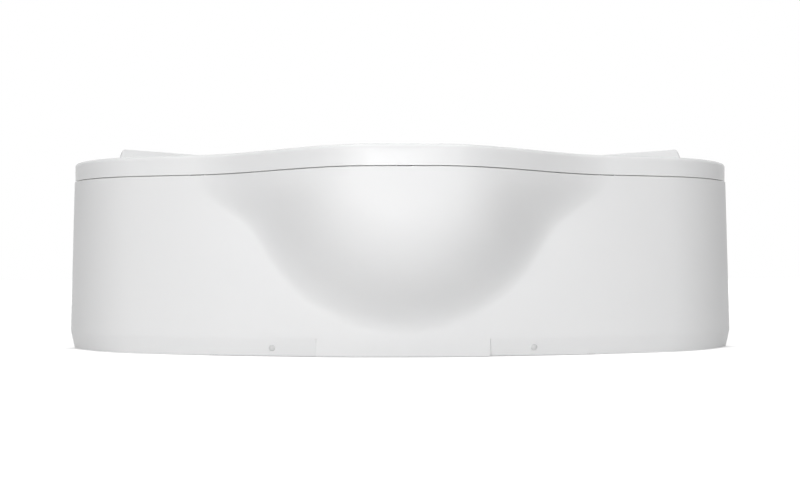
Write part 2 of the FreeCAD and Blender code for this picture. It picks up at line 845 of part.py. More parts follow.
def foot_screw_frames():
    """Frames of the two screws in the toe: on the panel's face, +Z outward, +Y up the toe."""
    frames = []
    for side in SIDES:
        heading = side * heading_at(dim.foot_screw_offset)
        low, high = toe_edges(heading)
        across = toe_point(heading + HEADING_STEP) - toe_point(heading - HEADING_STEP)
        outward = across.cross(high - low)
        rotation = FreeCAD.Rotation(across, Vector(), outward, "ZXY")
        frames.append(FreeCAD.Placement(toe_point(heading), rotation))
    return frames


def top_bracket_frames():
    """Frames of the panel's top brackets: on the tub's fascia at the panel's top, +Y inward."""
    fascia = rim_ring(0.0, dim.fascia_height).front[0].Curve
    frames = []
    for offset in (-dim.top_bracket_offset, 0.0, dim.top_bracket_offset):
        place = fascia.parameter(front_line(heading_at(offset), 0.0))
        point = fascia.value(place)
        across = fascia.tangent(place)[0]
        rotation = FreeCAD.Rotation(across, Vector(), Vector(0, 0, 1), "ZXY")
        frames.append(at(point.x, point.y, PANEL_TOP, rotation))
    return frames


shaped("tub_shell", tub_shape())
shaped("front_panel", panel_shape())


# Panel fixings

def panel_fixings():
    """Screws, cover caps and brackets that hold the panel to the cradle and the rim."""
    screws, caps, brackets = [], [], []
    cap_drop = math.sqrt(dim.cover_cap_sphere_radius ** 2 - dim.cover_cap_radius ** 2)
    for number, frame in enumerate(foot_screw_frames()):
        seat = frame.multiply(at(z=dim.running_gap))
        shank = cylinder(f"foot_screw_shank_{number}", seat.multiply(at(z=-dim.foot_screw_length)),
                         "foot_screw_radius", "foot_screw_length")
        head = cylinder(f"foot_screw_head_{number}", seat, "foot_screw_head_radius", "foot_screw_head_height")
        screws.append(joined(f"foot_screw_{number}", [shank, head]))
        skirt = cylinder(f"cap_skirt_{number}", seat, "cover_cap_radius", "cover_cap_skirt")
        dome = primitive("Sphere", f"cap_dome_{number}", seat.multiply(at(z=dim.cover_cap_skirt - cap_drop)),
                         Radius="cover_cap_sphere_radius")
        dome.Angle1 = math.degrees(math.acos(dim.cover_cap_radius / dim.cover_cap_sphere_radius))
        recess = cylinder(f"cap_recess_{number}", seat, "foot_screw_head_radius + hole_gap",
                          "foot_screw_head_height + hole_gap")
        caps.append(less(f"cover_cap_{number}", joined(f"cap_form_{number}", [skirt, dome]), [recess]))
        brackets.append(foot_bracket(number, frame))
    node("panel_screws", group("panel_screw_group", screws))
    node("screw_cover_caps", group("cover_cap_group", caps))
    node("panel_foot_brackets", group("foot_bracket_group", brackets))


def foot_bracket(number, frame):
    """A bent steel strip from the front rail to the back of the panel's toe."""
    back = -dim.panel_wall - dim.running_gap - dim.bracket_wall
    tab = block(f"tab_{number}", frame, ("tab_width", "tab_height", "bracket_wall"),
                (-dim.tab_width / 2, -dim.tab_height / 2, back))
    edge = frame.multVec(Vector(0, dim.tab_height / 2, back))
    rail_face = FRONT_POST_Y - dim.tube_size / 2
    level = edge.z - dim.bracket_wall
    corner = at(edge.x - dim.tab_width / 2, 0.0, level)
    arm_run = derived(f"arm_run_{number}", rail_face - edge.y)
    arm = block(f"arm_{number}", corner, ("tab_width", arm_run, "bracket_wall"), (0.0, edge.y, 0.0))
    stem_run = derived(f"stem_run_{number}", RAIL_LEVEL + dim.tube_size - level)
    stem = block(f"stem_{number}", corner, ("tab_width", "bracket_wall", stem_run),
                 (0.0, rail_face - dim.bracket_wall, 0.0))
    hole = cylinder(f"tab_hole_{number}", frame.multiply(at(z=-dim.overrun)), "foot_screw_radius + hole_gap",
                    "2 * overrun")
    return less(f"foot_bracket_{number}", joined(f"foot_strip_{number}", [tab, arm, stem]), [hole])


def top_fixings():
    """Angle brackets behind the fascia, and the screws that come up through the panel's flange."""
    brackets, screws = [], []
    inset = dim.shell_wall + dim.running_gap
    for number, frame in enumerate(top_bracket_frames()):
        corner = (-dim.top_bracket_width / 2, inset, 0.0)
        upright = block(f"upright_{number}", frame,
                        ("top_bracket_width", "bracket_wall", "top_bracket_rise"), corner)
        ledge = block(f"ledge_{number}", frame,
                      ("top_bracket_width", "top_bracket_leg", "bracket_wall"), corner)
        screw_frame = frame.multiply(at(y=TOP_SCREW_INSET, z=-dim.panel_wall))
        hole = cylinder(f"ledge_hole_{number}", screw_frame, "top_screw_radius + hole_gap", "overrun")
        brackets.append(less(f"top_bracket_{number}", joined(f"angle_{number}", [upright, ledge]), [hole]))
        shank = cylinder(f"top_shank_{number}", screw_frame, "top_screw_radius",
                         "panel_wall + 2 * bracket_wall")
        head = prism(f"top_head_{number}", screw_frame.multiply(at(z=-dim.top_screw_head_height)), NUT_SIDES,
                     "top_screw_head_radius", "top_screw_head_height")
        screws.append(joined(f"top_screw_{number}", [shank, head]))
    node("panel_top_brackets", group("top_bracket_group", brackets))
    node("panel_top_screws", group("top_screw_group", screws))


# Cradle: posts under the rim, rails in two layers, a board under the tub's floor

RAIL_LEVEL = dim.floor_level - dim.shell_wall - dim.board_wall - 2 * dim.tube_size
POST_LEVEL = RAIL_LEVEL - dim.post_drop
POST_RUN = "rim_height - rim_pad_wall - floor_level + board_wall + 2 * tube_size + post_drop"
END_POST_X = HALF_WIDTH - dim.end_post_inset
END_POST_Y = BASE_Y + arc_walk(FRONT_END_ANGLE)[1] + dim.end_post_back
FRONT_POST_Y = BASE_Y + arc_walk(heading_at(dim.front_post_offset))[1] + dim.front_post_inset
CORNER_POST_Y = CORNER_Y - dim.corner_shelf + dim.corner_post_gap
BOARD_Y = DRAIN_Y - dim.drain_gasket_radius - dim.board_drain_gap - dim.board_depth / 2
POST_SPAN = CORNER_POST_Y - FRONT_POST_Y + dim.tube_size
CROSS_RAIL_RUN = derived("cross_rail_run", POST_SPAN + 2 * dim.cross_rail_overhang)
POSTS = (
    ("left_end", -END_POST_X, END_POST_Y),
    ("right_end", END_POST_X, END_POST_Y),
    ("left_front", -dim.front_post_offset, FRONT_POST_Y),
    ("right_front", dim.front_post_offset, FRONT_POST_Y),
    ("corner", 0.0, CORNER_POST_Y),
)
TUBE_FIT = "tube_size - 2 * tube_wall - 2 * running_gap"
ALONG_X = along((1, 0, 0))
ALONG_Y = along((0, 1, 0))


def posts():
    """Five posts of square tube with a pad between each and the rim."""
    made, pads = {}, []
    for name, x, y in POSTS:
        rise = dim.headrest_rise if name == "corner" else 0.0
        run = POST_RUN + (" + headrest_rise" if rise else "")
        made[name] = square_tube(name + "_post", at(x, y, POST_LEVEL), run)
        under_rim = dim.rim_height + rise - dim.shell_wall - dim.rim_pad_wall
        half = dim.rim_pad_size / 2
        pads.append(block(name + "_pad", at(x, y, under_rim),
                          ("rim_pad_size", "rim_pad_size", "rim_pad_wall"), (-half, -half, 0.0)))
    node("end_posts", group("end_post_pair", [made["left_end"], made["right_end"]]))
    node("front_posts", group("front_post_pair", [made["left_front"], made["right_front"]]))
    node("corner_post", made["corner"])
    node("rim_pads", group("rim_pad_group", pads))


def rails():
    """Rails between the posts, and two cross rails on top of them under the board."""
    layer = RAIL_LEVEL + dim.tube_size / 2
    half = dim.tube_size / 2
    node("end_rail", square_tube("end_rail_tube", at(half - END_POST_X, END_POST_Y, layer, ALONG_X),
                                 "side_length * sqrt(2) - 2 * end_post_inset - tube_size"))
    front_start = at(half - dim.front_post_offset, FRONT_POST_Y, layer, ALONG_X)
    node("front_rail", square_tube("front_rail_tube", front_start, "2 * front_post_offset - tube_size"))
    back = [square_tube(f"back_rail_{side}", at(start, CORNER_POST_Y, layer, ALONG_X), "cross_rail_offset")
            for side, start in (("left", -half - dim.cross_rail_offset), ("right", half))]
    node("back_rails", group("back_rail_pair", back))
    start_y = FRONT_POST_Y - half - dim.cross_rail_overhang
    cross = []
    for side in SIDES:
        frame = at(side * dim.cross_rail_offset, start_y, layer + dim.tube_size, ALONG_Y)
        tube = square_tube(f"cross_tube_{side + 1}", frame, CROSS_RAIL_RUN)
        holes = [cylinder(f"cross_hole_{side + 1}_{number}", at(x, y, RAIL_LEVEL + dim.tube_size),
                          "board_screw_radius + hole_gap", "tube_size")
                 for number, (x, y) in enumerate(board_screw_places()) if x * side > 0]
        cross.append(less(f"cross_rail_{side + 1}", tube, holes))
    node("cross_rails", group("cross_rail_pair", cross))
    node("rail_end_caps", group("rail_end_cap_group", end_caps(start_y, layer)))


def end_caps(start_y, layer):
    """Plastic caps in the open ends of the cross rails and the back rails."""
    frames = []
    for side in SIDES:
        x = side * dim.cross_rail_offset
        frames.append(at(x, start_y, layer + dim.tube_size, along((0, -1, 0))))
        frames.append(at(x, start_y + dim.cross_rail_run, layer + dim.tube_size, ALONG_Y))
        reach = side * (dim.cross_rail_offset + dim.tube_size / 2)
        frames.append(at(reach, CORNER_POST_Y, layer, along((side, 0, 0))))
    caps = []
    half = dim.tube_size / 2
    inner = half - dim.tube_wall - dim.running_gap
    for number, frame in enumerate(frames):
        plate = block(f"cap_plate_{number}", frame, ("tube_size", "tube_size", "end_cap_wall"),
                      (-half, -half, 0.0))
        plug = block(f"cap_plug_{number}", frame, (TUBE_FIT, TUBE_FIT, "end_cap_depth"),
                     (-inner, -inner, -dim.end_cap_depth))
        caps.append(joined(f"end_cap_{number}", [plate, plug]))
    return caps


def board_screw_places():
    """Where screws come up through the cross rails into the board."""
    front = END_POST_Y + dim.tube_size / 2 + dim.board_screw_rail_gap
    back = BOARD_Y + dim.board_depth / 2 - dim.board_screw_inset
    return [(side * dim.cross_rail_offset, y) for side in SIDES for y in (front, back)]


def board():
    """The board under the tub's floor, with rounded corners and blind screw holes."""
    level = dim.floor_level - dim.shell_wall - dim.board_wall
    slab = padded_sketch("board_slab", at(0.0, BOARD_Y, level),
                         [("2 * board_half_length", "board_depth")], "board_wall")
    doc.recompute()
    pad = slab.Tip
    upright = [f"Edge{number}" for number, edge in enumerate(pad.Shape.Edges, start=1)
               if edge.BoundBox.ZLength > edge.BoundBox.XLength + edge.BoundBox.YLength]
    corners = slab.newObject("PartDesign::Fillet", "board_corners")
    corners.Base = (pad, upright)
    bind(corners, Radius="board_corner_radius")
    slab.Tip = corners
    holes, screws = [], []
    for number, (x, y) in enumerate(board_screw_places()):
        holes.append(cylinder(f"board_hole_{number}", at(x, y, level), "board_screw_radius + running_gap",
                              "board_screw_grip + running_gap"))
        under = at(x, y, level - dim.tube_size)
        shank = cylinder(f"board_shank_{number}", under, "board_screw_radius", "tube_size + board_screw_grip")
        head = prism(f"board_head_{number}", under.multiply(at(z=-dim.board_screw_head_height)), NUT_SIDES,
                     "board_screw_head_radius", "board_screw_head_height")
        screws.append(joined(f"board_screw_{number}", [shank, head]))
    node("base_board", less("base_board_form", slab, holes))
    node("board_screws", group("board_screw_group", screws))


# Screw feet: a plug in each post's end, a lock nut, a stud and a swivelling foot

def feet():
    """The five screw feet; each stud and each foot is a sub-part of its own."""
    plugs, nuts = [], []
    half = dim.tube_size / 2
    inner = half - dim.tube_wall - dim.running_gap
    for name, x, y in POSTS:
        flange_level = POST_LEVEL - dim.plug_flange_wall
        flange = block(name + "_plug_flange", at(x, y, flange_level),
                       ("tube_size", "tube_size", "plug_flange_wall"), (-half, -half, 0.0))
        body = block(name + "_plug_body", at(x, y, POST_LEVEL), (TUBE_FIT, TUBE_FIT, "plug_depth"),
                     (-inner, -inner, 0.0))
        thread = cylinder(name + "_plug_thread", at(x, y, flange_level), "stud_radius + running_gap",
                          "plug_flange_wall + plug_depth")
        plugs.append(less(name + "_post_plug", joined(name + "_plug_form", [flange, body]), [thread]))
        nut_frame = at(x, y, flange_level - dim.lock_nut_height)
        hexagon = prism(name + "_nut_form", nut_frame, NUT_SIDES, "lock_nut_radius", "lock_nut_height")
        tapped = cylinder(name + "_nut_thread", nut_frame, "stud_radius + running_gap", "lock_nut_height")
        nuts.append(less(name + "_lock_nut", hexagon, [tapped]))
        stud_frame = at(x, y, dim.foot_socket_level + dim.running_gap)
        rod = cylinder(name + "_rod", stud_frame, "stud_radius", "stud_length")
        key = prism(name + "_key", stud_frame.multiply(at(z=dim.stud_key_level)), NUT_SIDES, "stud_key_width",
                    "stud_key_height")
        node(name + "_leg_stud", joined(name + "_stud_form", [rod, key]))
        sole = prism(name + "_sole", at(x, y), FOOT_SIDES, "foot_radius", "foot_rim")
        neck = cylinder(name + "_neck", at(x, y), "foot_neck_radius", "foot_height")
        socket = cylinder(name + "_socket", at(x, y, dim.foot_socket_level), "stud_radius + running_gap",
                          "foot_height")
        node(name + "_foot", less(name + "_foot_form", joined(name + "_foot_solid", [sole, neck]), [socket]))
    node("post_plugs", group("post_plug_group", plugs))
    node("lock_nuts", group("lock_nut_group", nuts))


# Wall hangers: folded plates that hook up inside the rim's lip on both walls

def hangers():
    """Two hangers, each with a pair of screw holes in the plate that lies on the wall."""
    lip_bottom = dim.rim_height + dim.headrest_rise - dim.fascia_height
    plate_top = lip_bottom - dim.hanger_gap
    half = dim.hanger_width / 2
    start = front_line(WALL_ANGLE, 0.0)
    reach = start + heading_vector(WALL_ANGLE) * dim.hanger_distance
    for side, name in zip(SIDES, ("left", "right")):
        turn = WALL_ANGLE if side > 0 else WALL_ANGLE + math.pi / 2
        frame = at(side * reach.x, reach.y, plate_top, yawed(turn))
        plate = block(name + "_plate", frame, ("hanger_width", "bracket_wall", "hanger_drop"),
                      (-half, 0.0, -dim.hanger_drop))
        fold = block(name + "_fold", frame, ("hanger_width", "hanger_reach", "bracket_wall"),
                     (-half, 0.0, -dim.bracket_wall))
        hook_run = "fascia_height - shell_wall + hanger_gap + bracket_wall"
        hook = block(name + "_hook", frame, ("hanger_width", "bracket_wall", hook_run),
                     (-half, dim.hanger_reach - dim.bracket_wall, -dim.bracket_wall))
        holes = []
        for end in SIDES:
            place = at(end * dim.hanger_hole_spacing / 2, -dim.overrun, -dim.hanger_hole_drop, ALONG_Y)
            holes.append(cylinder(f"{name}_hanger_hole_{end + 1}", frame.multiply(place),
                                  "hanger_hole_radius", "2 * overrun"))
        strip = joined(name + "_hanger_strip", [plate, fold, hook])
        node(name + "_wall_hanger", less(name + "_hanger_form", strip, holes))


# Waste: drain fitting, pop-up plug, cup, trap, outlet pipe, overflow and its control cable

FLANGE_TOP = dim.floor_level + dim.drain_flange_wall
CUP_TOP = dim.floor_level - dim.shell_wall - dim.drain_gasket_wall
CUP_BOTTOM = CUP_TOP - dim.cup_flange_wall - dim.cup_depth
TRAP_TOP = CUP_BOTTOM - dim.spigot_length
TRAP_LOW = TRAP_TOP - dim.trap_height
OUTLET_LEVEL = TRAP_TOP - dim.outlet_drop
INLET_LEVEL = CUP_BOTTOM + dim.overflow_inlet_level
INLET_Y = DRAIN_Y + dim.overflow_inlet_reach
PIPE_BORE = "pipe_radius - pipe_wall"
OVERFLOW_BORE = "overflow_pipe_radius - overflow_pipe_wall"


def drain_at(level):
    """A frame on the drain's axis."""
    return at(0.0, DRAIN_Y, level)


def drain_fitting():
    """The chromed drain flange with its seat, threaded stem and spider, and the gasket below it."""
    stem_end = dim.floor_level - dim.drain_stem_length
    flange = cylinder("drain_flange_ring", drain_at(dim.floor_level), "drain_flange_radius",
                      "drain_flange_wall")
    stem = cylinder("drain_stem", drain_at(stem_end), "drain_stem_radius", "drain_stem_length")
    throat = cylinder("drain_throat", drain_at(stem_end), "drain_throat_radius",
                      "drain_stem_length + drain_flange_wall")
    seat = cylinder("drain_seat", drain_at(FLANGE_TOP - dim.drain_seat_depth), "drain_seat_radius",
                    "drain_seat_depth")
    sleeve = less("drain_sleeve", joined("drain_sleeve_form", [flange, stem]), [throat, seat])
    hub = cylinder("spider_hub", drain_at(stem_end), "spider_hub_radius", "spider_height")
    ribs = []
    for number in range(SPIDER_RIBS):
        frame = at(0.0, DRAIN_Y, stem_end, yawed(2 * math.pi * number / SPIDER_RIBS))
        ribs.append(block(f"spider_rib_{number}", frame,
                          ("drain_throat_radius + pipe_wall", "spider_rib_wall", "spider_height"),
                          (0.0, -dim.spider_rib_wall / 2, 0.0)))
    guide = cylinder("spider_guide", drain_at(stem_end), "plug_pin_radius + running_gap", "spider_height")
    node("drain_flange", less("drain_flange_form", joined("drain_spider", [sleeve, hub] + ribs), [guide]))
    ring = cylinder("drain_gasket_disc", drain_at(CUP_TOP), "drain_gasket_radius", "drain_gasket_wall")
    hole = cylinder("drain_gasket_hole", drain_at(CUP_TOP), "drain_hole_radius", "drain_gasket_wall")
    node("drain_gasket", less("drain_gasket_form", ring, [hole]))


def pop_up_plug():
    """The plug with its pin, and the seal ring on its neck."""
    under = FLANGE_TOP + dim.running_gap
    cap = cylinder("plug_cap", drain_at(under), "plug_radius", "plug_cap_height")
    neck_level = under - dim.plug_seal_height
    neck = cylinder("plug_neck", drain_at(neck_level), "plug_neck_radius", "plug_seal_height")
    stem_level = neck_level - dim.plug_stem_height
    stem = cylinder("plug_stem", drain_at(stem_level), "plug_stem_radius", "plug_stem_height")
    pin = cylinder("plug_pin", drain_at(stem_level - dim.plug_pin_length), "plug_pin_radius",
                   "plug_pin_length")
    node("drain_plug", joined("drain_plug_form", [cap, neck, stem, pin]))
    seal = cylinder("plug_seal_disc", drain_at(neck_level), "plug_seal_radius", "plug_seal_height")
    seal_hole = cylinder("plug_seal_hole", drain_at(neck_level), "plug_neck_radius + seat_gap",
                         "plug_seal_height")
    node("plug_seal", less("plug_seal_form", seal, [seal_hole]))


def drain_cup():
    """The moulded cup under the drain: flange, bowl, outlet spigot, overflow inlet and cable gland."""
    flange = cylinder("cup_flange", drain_at(CUP_TOP - dim.cup_flange_wall), "drain_gasket_radius",
                      "cup_flange_wall")
    bowl = cylinder("cup_bowl", drain_at(CUP_BOTTOM), "cup_radius", "cup_depth")
    spigot = cylinder("cup_spigot", drain_at(TRAP_TOP), "pipe_radius", "spigot_length")
    inlet_frame = at(0.0, DRAIN_Y, INLET_LEVEL, ALONG_Y)
    inlet = cylinder("cup_inlet", inlet_frame, "overflow_pipe_radius", "overflow_inlet_reach")
    gland = cylinder("cup_gland", at(dim.cable_offset, DRAIN_Y, INLET_LEVEL, ALONG_Y), "cable_gland_radius",
                     "cup_radius + cable_gland_length")
    hollow = cylinder("cup_hollow", drain_at(CUP_BOTTOM + dim.cup_wall), "cup_radius - cup_wall",
                      "cup_depth - cup_wall")
    neck = cylinder("cup_neck", drain_at(CUP_BOTTOM + dim.cup_wall), "drain_stem_radius + running_gap",
                    "cup_depth + cup_flange_wall")
    outlet = cylinder("cup_outlet", drain_at(TRAP_TOP), PIPE_BORE, "spigot_length + cup_depth / 2")
    inlet_bore = cylinder("cup_inlet_bore", inlet_frame, OVERFLOW_BORE, "overflow_inlet_reach")
    node("drain_cup", less("drain_cup_form", joined("cup_solid", [flange, bowl, spigot, inlet, gland]),
                           [hollow, neck, outlet, inlet_bore]))


def slip_nut(name, frame, radius, bore, length):
    """A faceted coupling nut that spans a joint at its frame's origin."""
    start = frame.multiply(at(z=-getattr(dim, length) / 2))
    return less(name, prism(name + "_form", start, SLIP_NUT_SIDES, radius, length),
                [cylinder(name + "_bore", start, bore + " + seat_gap", length)])


def trap():
    """The bottle trap with its dip tube and screwed cup, the outlet pipe and the slip nuts."""
    outlet = at(0.0, DRAIN_Y, OUTLET_LEVEL, ALONG_Y)
    barrel = cylinder("trap_barrel", drain_at(TRAP_LOW), "trap_radius", "trap_height")
    tail = cylinder("trap_tail", outlet, "pipe_radius", "trap_radius + trap_tail")
    hollow = cylinder("trap_hollow", drain_at(TRAP_LOW), "trap_radius - pipe_wall", "trap_height - pipe_wall")
    tail_bore = cylinder("trap_tail_bore", outlet, PIPE_BORE, "trap_radius + trap_tail")
    case = less("trap_case", joined("trap_outside", [barrel, tail]), [hollow, tail_bore])
    dip_frame = drain_at(TRAP_TOP - dim.trap_dip)
    dip = cylinder("trap_dip_tube", dip_frame, "pipe_radius", "trap_dip")
    dip_bore = cylinder("trap_dip_bore", dip_frame, PIPE_BORE, "trap_dip")
    node("trap_body", less("trap_form", joined("trap_solid", [case, dip]), [dip_bore]))
    cup = prism("trap_cup_outside", drain_at(TRAP_LOW - dim.trap_cup_wall), SLIP_NUT_SIDES, "trap_cup_radius",
                "trap_cup_height")
    seat = cylinder("trap_cup_hollow", drain_at(TRAP_LOW), "trap_radius + running_gap", "trap_cup_height")
    node("trap_cup", less("trap_cup_form", cup, [seat]))
    joint = outlet.multiply(at(z=dim.trap_radius + dim.trap_tail))
    neck = cylinder("outlet_neck", joint, "outlet_neck_radius", "outlet_neck_length")
    tube = cylinder("outlet_tube", joint.multiply(at(z=dim.outlet_neck_length)), "pipe_radius",
                    "outlet_length")
    bore = cylinder("outlet_bore", joint, PIPE_BORE, "outlet_neck_length + outlet_length")
    node("outlet_pipe", less("outlet_pipe_form", joined("outlet_pipe_solid", [neck, tube]), [bore]))
    nuts = [slip_nut("trap_inlet_nut", drain_at(TRAP_TOP + dim.slip_nut_length / 2), "slip_nut_radius",
                     "pipe_radius", "slip_nut_length"),
            slip_nut("trap_outlet_nut", joint, "slip_nut_radius", "pipe_radius", "slip_nut_length")]
    node("trap_nuts", group("trap_nut_group", nuts))


# Overflow: local +Z points into the basin

WALL_FRAME = overflow_frame()
BODY_FACE = -dim.shell_wall - dim.overflow_gasket_wall
CHAMBER_FACE = BODY_FACE - dim.overflow_flange_wall
SPIGOT_TOP = WALL_FRAME.multVec(Vector(0, 0, CHAMBER_FACE - dim.overflow_chamber_depth / 2))
PIPE_TOP = SPIGOT_TOP.z - dim.overflow_spigot_length
DOWNWARD = along((0, 0, -1))


def wall_at(height):
    """A frame on the overflow's axis, at a height above the basin's wall."""
    return WALL_FRAME.multiply(at(z=height))


def overflow():
    """The overflow body, its gasket, the chromed ring and the rotary knob."""
    flange = cylinder("overflow_flange", wall_at(CHAMBER_FACE), "overflow_flange_radius",
                      "overflow_flange_wall")
    chamber = cylinder("overflow_chamber", wall_at(CHAMBER_FACE - dim.overflow_chamber_depth),
                       "overflow_chamber_radius", "overflow_chamber_depth")
    neck_run = "overflow_flange_wall + overflow_gasket_wall + shell_wall + overflow_ring_wall"
    neck = cylinder("overflow_neck", wall_at(CHAMBER_FACE), "overflow_neck_radius", neck_run)
    drop = at(SPIGOT_TOP.x, SPIGOT_TOP.y, SPIGOT_TOP.z, DOWNWARD)
    spigot = cylinder("overflow_spigot", drop, "overflow_pipe_radius", "overflow_spigot_length")
    gland_frame = at(dim.cable_offset, SPIGOT_TOP.y, SPIGOT_TOP.z, DOWNWARD)
    gland = cylinder("overflow_gland", gland_frame, "cable_gland_radius", "overflow_chamber_radius")
    floor = CHAMBER_FACE - dim.overflow_chamber_depth + dim.overflow_chamber_wall
    hollow = cylinder("overflow_hollow", wall_at(floor), "overflow_chamber_radius - overflow_chamber_wall",
                      "overflow_chamber_depth - overflow_chamber_wall")
    throat = cylinder("overflow_throat", wall_at(floor), "overflow_throat_radius",
                      "overflow_chamber_depth + " + neck_run)
    bore = cylinder("overflow_spigot_bore", drop, OVERFLOW_BORE, "overflow_spigot_length")
    bearing = cylinder("overflow_bearing", wall_at(floor - dim.overrun), "knob_shaft_radius + running_gap",
                       "2 * overrun")
    solid = joined("overflow_solid", [flange, chamber, neck, spigot, gland])
    node("overflow_body", less("overflow_body_form", solid, [hollow, throat, bore, bearing]))
    washer = cylinder("overflow_washer", wall_at(BODY_FACE), "overflow_flange_radius", "overflow_gasket_wall")
    washer_hole = cylinder("overflow_washer_hole", wall_at(BODY_FACE), "overflow_hole_radius",
                           "overflow_gasket_wall")
    node("overflow_gasket", less("overflow_gasket_form", washer, [washer_hole]))
    face = wall_at(dim.running_gap)
    ring_disc = cylinder("overflow_ring_disc", face, "overflow_ring_radius", "overflow_ring_wall")
    ring_hole = cylinder("overflow_ring_hole", face, "overflow_neck_radius + running_gap",
                         "overflow_ring_wall")
    node("overflow_ring", less("overflow_ring_form", ring_disc, [ring_hole]))
    knob(floor)


def knob(floor):
    """The overflow knob: a round plate with a grip bar, on a shaft that turns in the body's back."""
    plate = cylinder("knob_plate", wall_at(dim.knob_stand_off), "knob_radius", "knob_wall")
    doc.recompute()
    rims = [(number, dim.knob_bevel, dim.knob_bevel)
            for number, edge in enumerate(plate.Shape.Edges, start=1) if edge.Closed]
    bevelled_plate = doc.addObject("Part::Chamfer", "knob_bevelled")
    bevelled_plate.Base = plate
    bevelled_plate.Edges = rims
    grip_half = dim.knob_radius - dim.knob_grip_width
    top = wall_at(dim.knob_stand_off)
    height = "knob_wall + knob_grip_height"
    bar = block("knob_bar", top, ("knob_grip_width", "2 * knob_radius - 2 * knob_grip_width", height),
                (-dim.knob_grip_width / 2, -grip_half, 0.0))
    ends = [cylinder(f"knob_bar_end_{side + 1}", top.multiply(at(y=side * grip_half)),
                     "knob_grip_width / 2", height) for side in SIDES]
    tail = floor - dim.overflow_chamber_wall - dim.knob_shaft_radius
    shaft_run = derived("knob_shaft_run", dim.knob_stand_off + dim.knob_wall / 2 - tail)
    shaft = cylinder("knob_shaft", wall_at(tail), "knob_shaft_radius", shaft_run)
    node("overflow_knob", joined("overflow_knob_form", [bevelled_plate, bar, shaft] + ends))


def down_and_in(name, x, top, inner_y, bend_radius, section):
    """A round run that drops from the overflow and bends forward to the drain cup."""
    radius = getattr(dim, bend_radius)
    drop = cylinder(name + "_drop", at(x, SPIGOT_TOP.y, top, DOWNWARD), section,
                    derived(name + "_drop_run", top - INLET_LEVEL - radius))
    elbow_frame = at(x, SPIGOT_TOP.y - radius, INLET_LEVEL + radius,
                     FreeCAD.Rotation(Vector(0, 0, -1), Vector(), Vector(1, 0, 0), "ZXY"))
    elbow = bend(name + "_elbow", elbow_frame, bend_radius, section, QUARTER_TURN)
    level = cylinder(name + "_level", at(x, inner_y, INLET_LEVEL, ALONG_Y), section,
                     derived(name + "_level_run", SPIGOT_TOP.y - radius - inner_y))
    return [drop, elbow, level]


def overflow_run():
    """The overflow pipe with its nuts, and the control cable clipped along it."""
    outside = down_and_in("overflow_pipe", 0.0, PIPE_TOP, INLET_Y, "overflow_bend_radius",
                          "overflow_pipe_radius")
    inside = down_and_in("overflow_bore", 0.0, PIPE_TOP, INLET_Y, "overflow_bend_radius", OVERFLOW_BORE)
    node("overflow_pipe", less("overflow_pipe_form", joined("overflow_pipe_outside", outside), inside))
    nuts = [slip_nut("overflow_top_nut", at(0.0, SPIGOT_TOP.y, PIPE_TOP), "overflow_nut_radius",
                     "overflow_pipe_radius", "overflow_nut_length"),
            slip_nut("overflow_low_nut", at(0.0, INLET_Y, INLET_LEVEL, ALONG_Y), "overflow_nut_radius",
                     "overflow_pipe_radius", "overflow_nut_length")]
    node("overflow_nuts", group("overflow_nut_group", nuts))
    cable_top = SPIGOT_TOP.z - dim.overflow_chamber_radius
    cable_end = DRAIN_Y + dim.cup_radius + dim.cable_gland_length
    cable = down_and_in("cable", dim.cable_offset, cable_top, cable_end, "cable_bend_radius", "cable_radius")
    node("control_cable", joined("control_cable_form", cable))
    clips = []
    for number in range(CABLE_CLIPS):
        low = PIPE_TOP - dim.clip_drop - number * dim.clip_spacing
        frame = at(0.0, SPIGOT_TOP.y, low)
        eye_frame = frame.multiply(at(dim.cable_offset))
        hoop = prism(f"clip_hoop_{number}", frame, SLIP_NUT_SIDES, "overflow_pipe_radius + clip_wall",
                     "clip_width")
        eye = prism(f"clip_eye_{number}", eye_frame, SLIP_NUT_SIDES, "cable_radius + clip_wall",
                    "clip_width")
        web = block(f"clip_web_{number}", frame, ("cable_offset", "clip_wall", "clip_width"),
                    (0.0, -dim.clip_wall / 2, 0.0))
        bores = [cylinder(f"clip_bore_{number}", frame, "overflow_pipe_radius + seat_gap", "clip_width"),
                 cylinder(f"clip_eye_bore_{number}", eye_frame, "cable_radius + seat_gap", "clip_width")]
        clips.append(less(f"clip_{number}", joined(f"clip_form_{number}", [hoop, eye, web]), bores))
    node("cable_clips", group("cable_clip_group", clips))


panel_fixings()
top_fixings()
posts()
rails()
board()
feet()
hangers()
drain_fitting()
pop_up_plug()
drain_cup()
trap()
overflow()
overflow_run()
doc.recompute()

# Every object has to be sound before anything is written
faults = [made.Label for made in doc.Objects if {"Invalid", "Error"} & set(made.State)]
faults += [made.Label for made in nodes if made.Shape.isNull() or not made.Shape.isValid()]
if faults:
    raise RuntimeError("faulty: " + ", ".join(faults))
os.makedirs("parts", exist_ok=True)
for made in nodes:
    made.Shape.exportStep(os.path.join("parts", made.Label + ".step"))
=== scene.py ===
"""Looks of a white corner bath: moulded tub, bowed front panel, steel cradle and pop-up waste.

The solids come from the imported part. Here the two big mouldings and the small turned pieces are laid over
them as smooth surfaces, every node gets its finish, and the bath stands in a plain white studio.
"""
import json
import logging
import math
from dataclasses import dataclass
from enum import Enum
from functools import cache

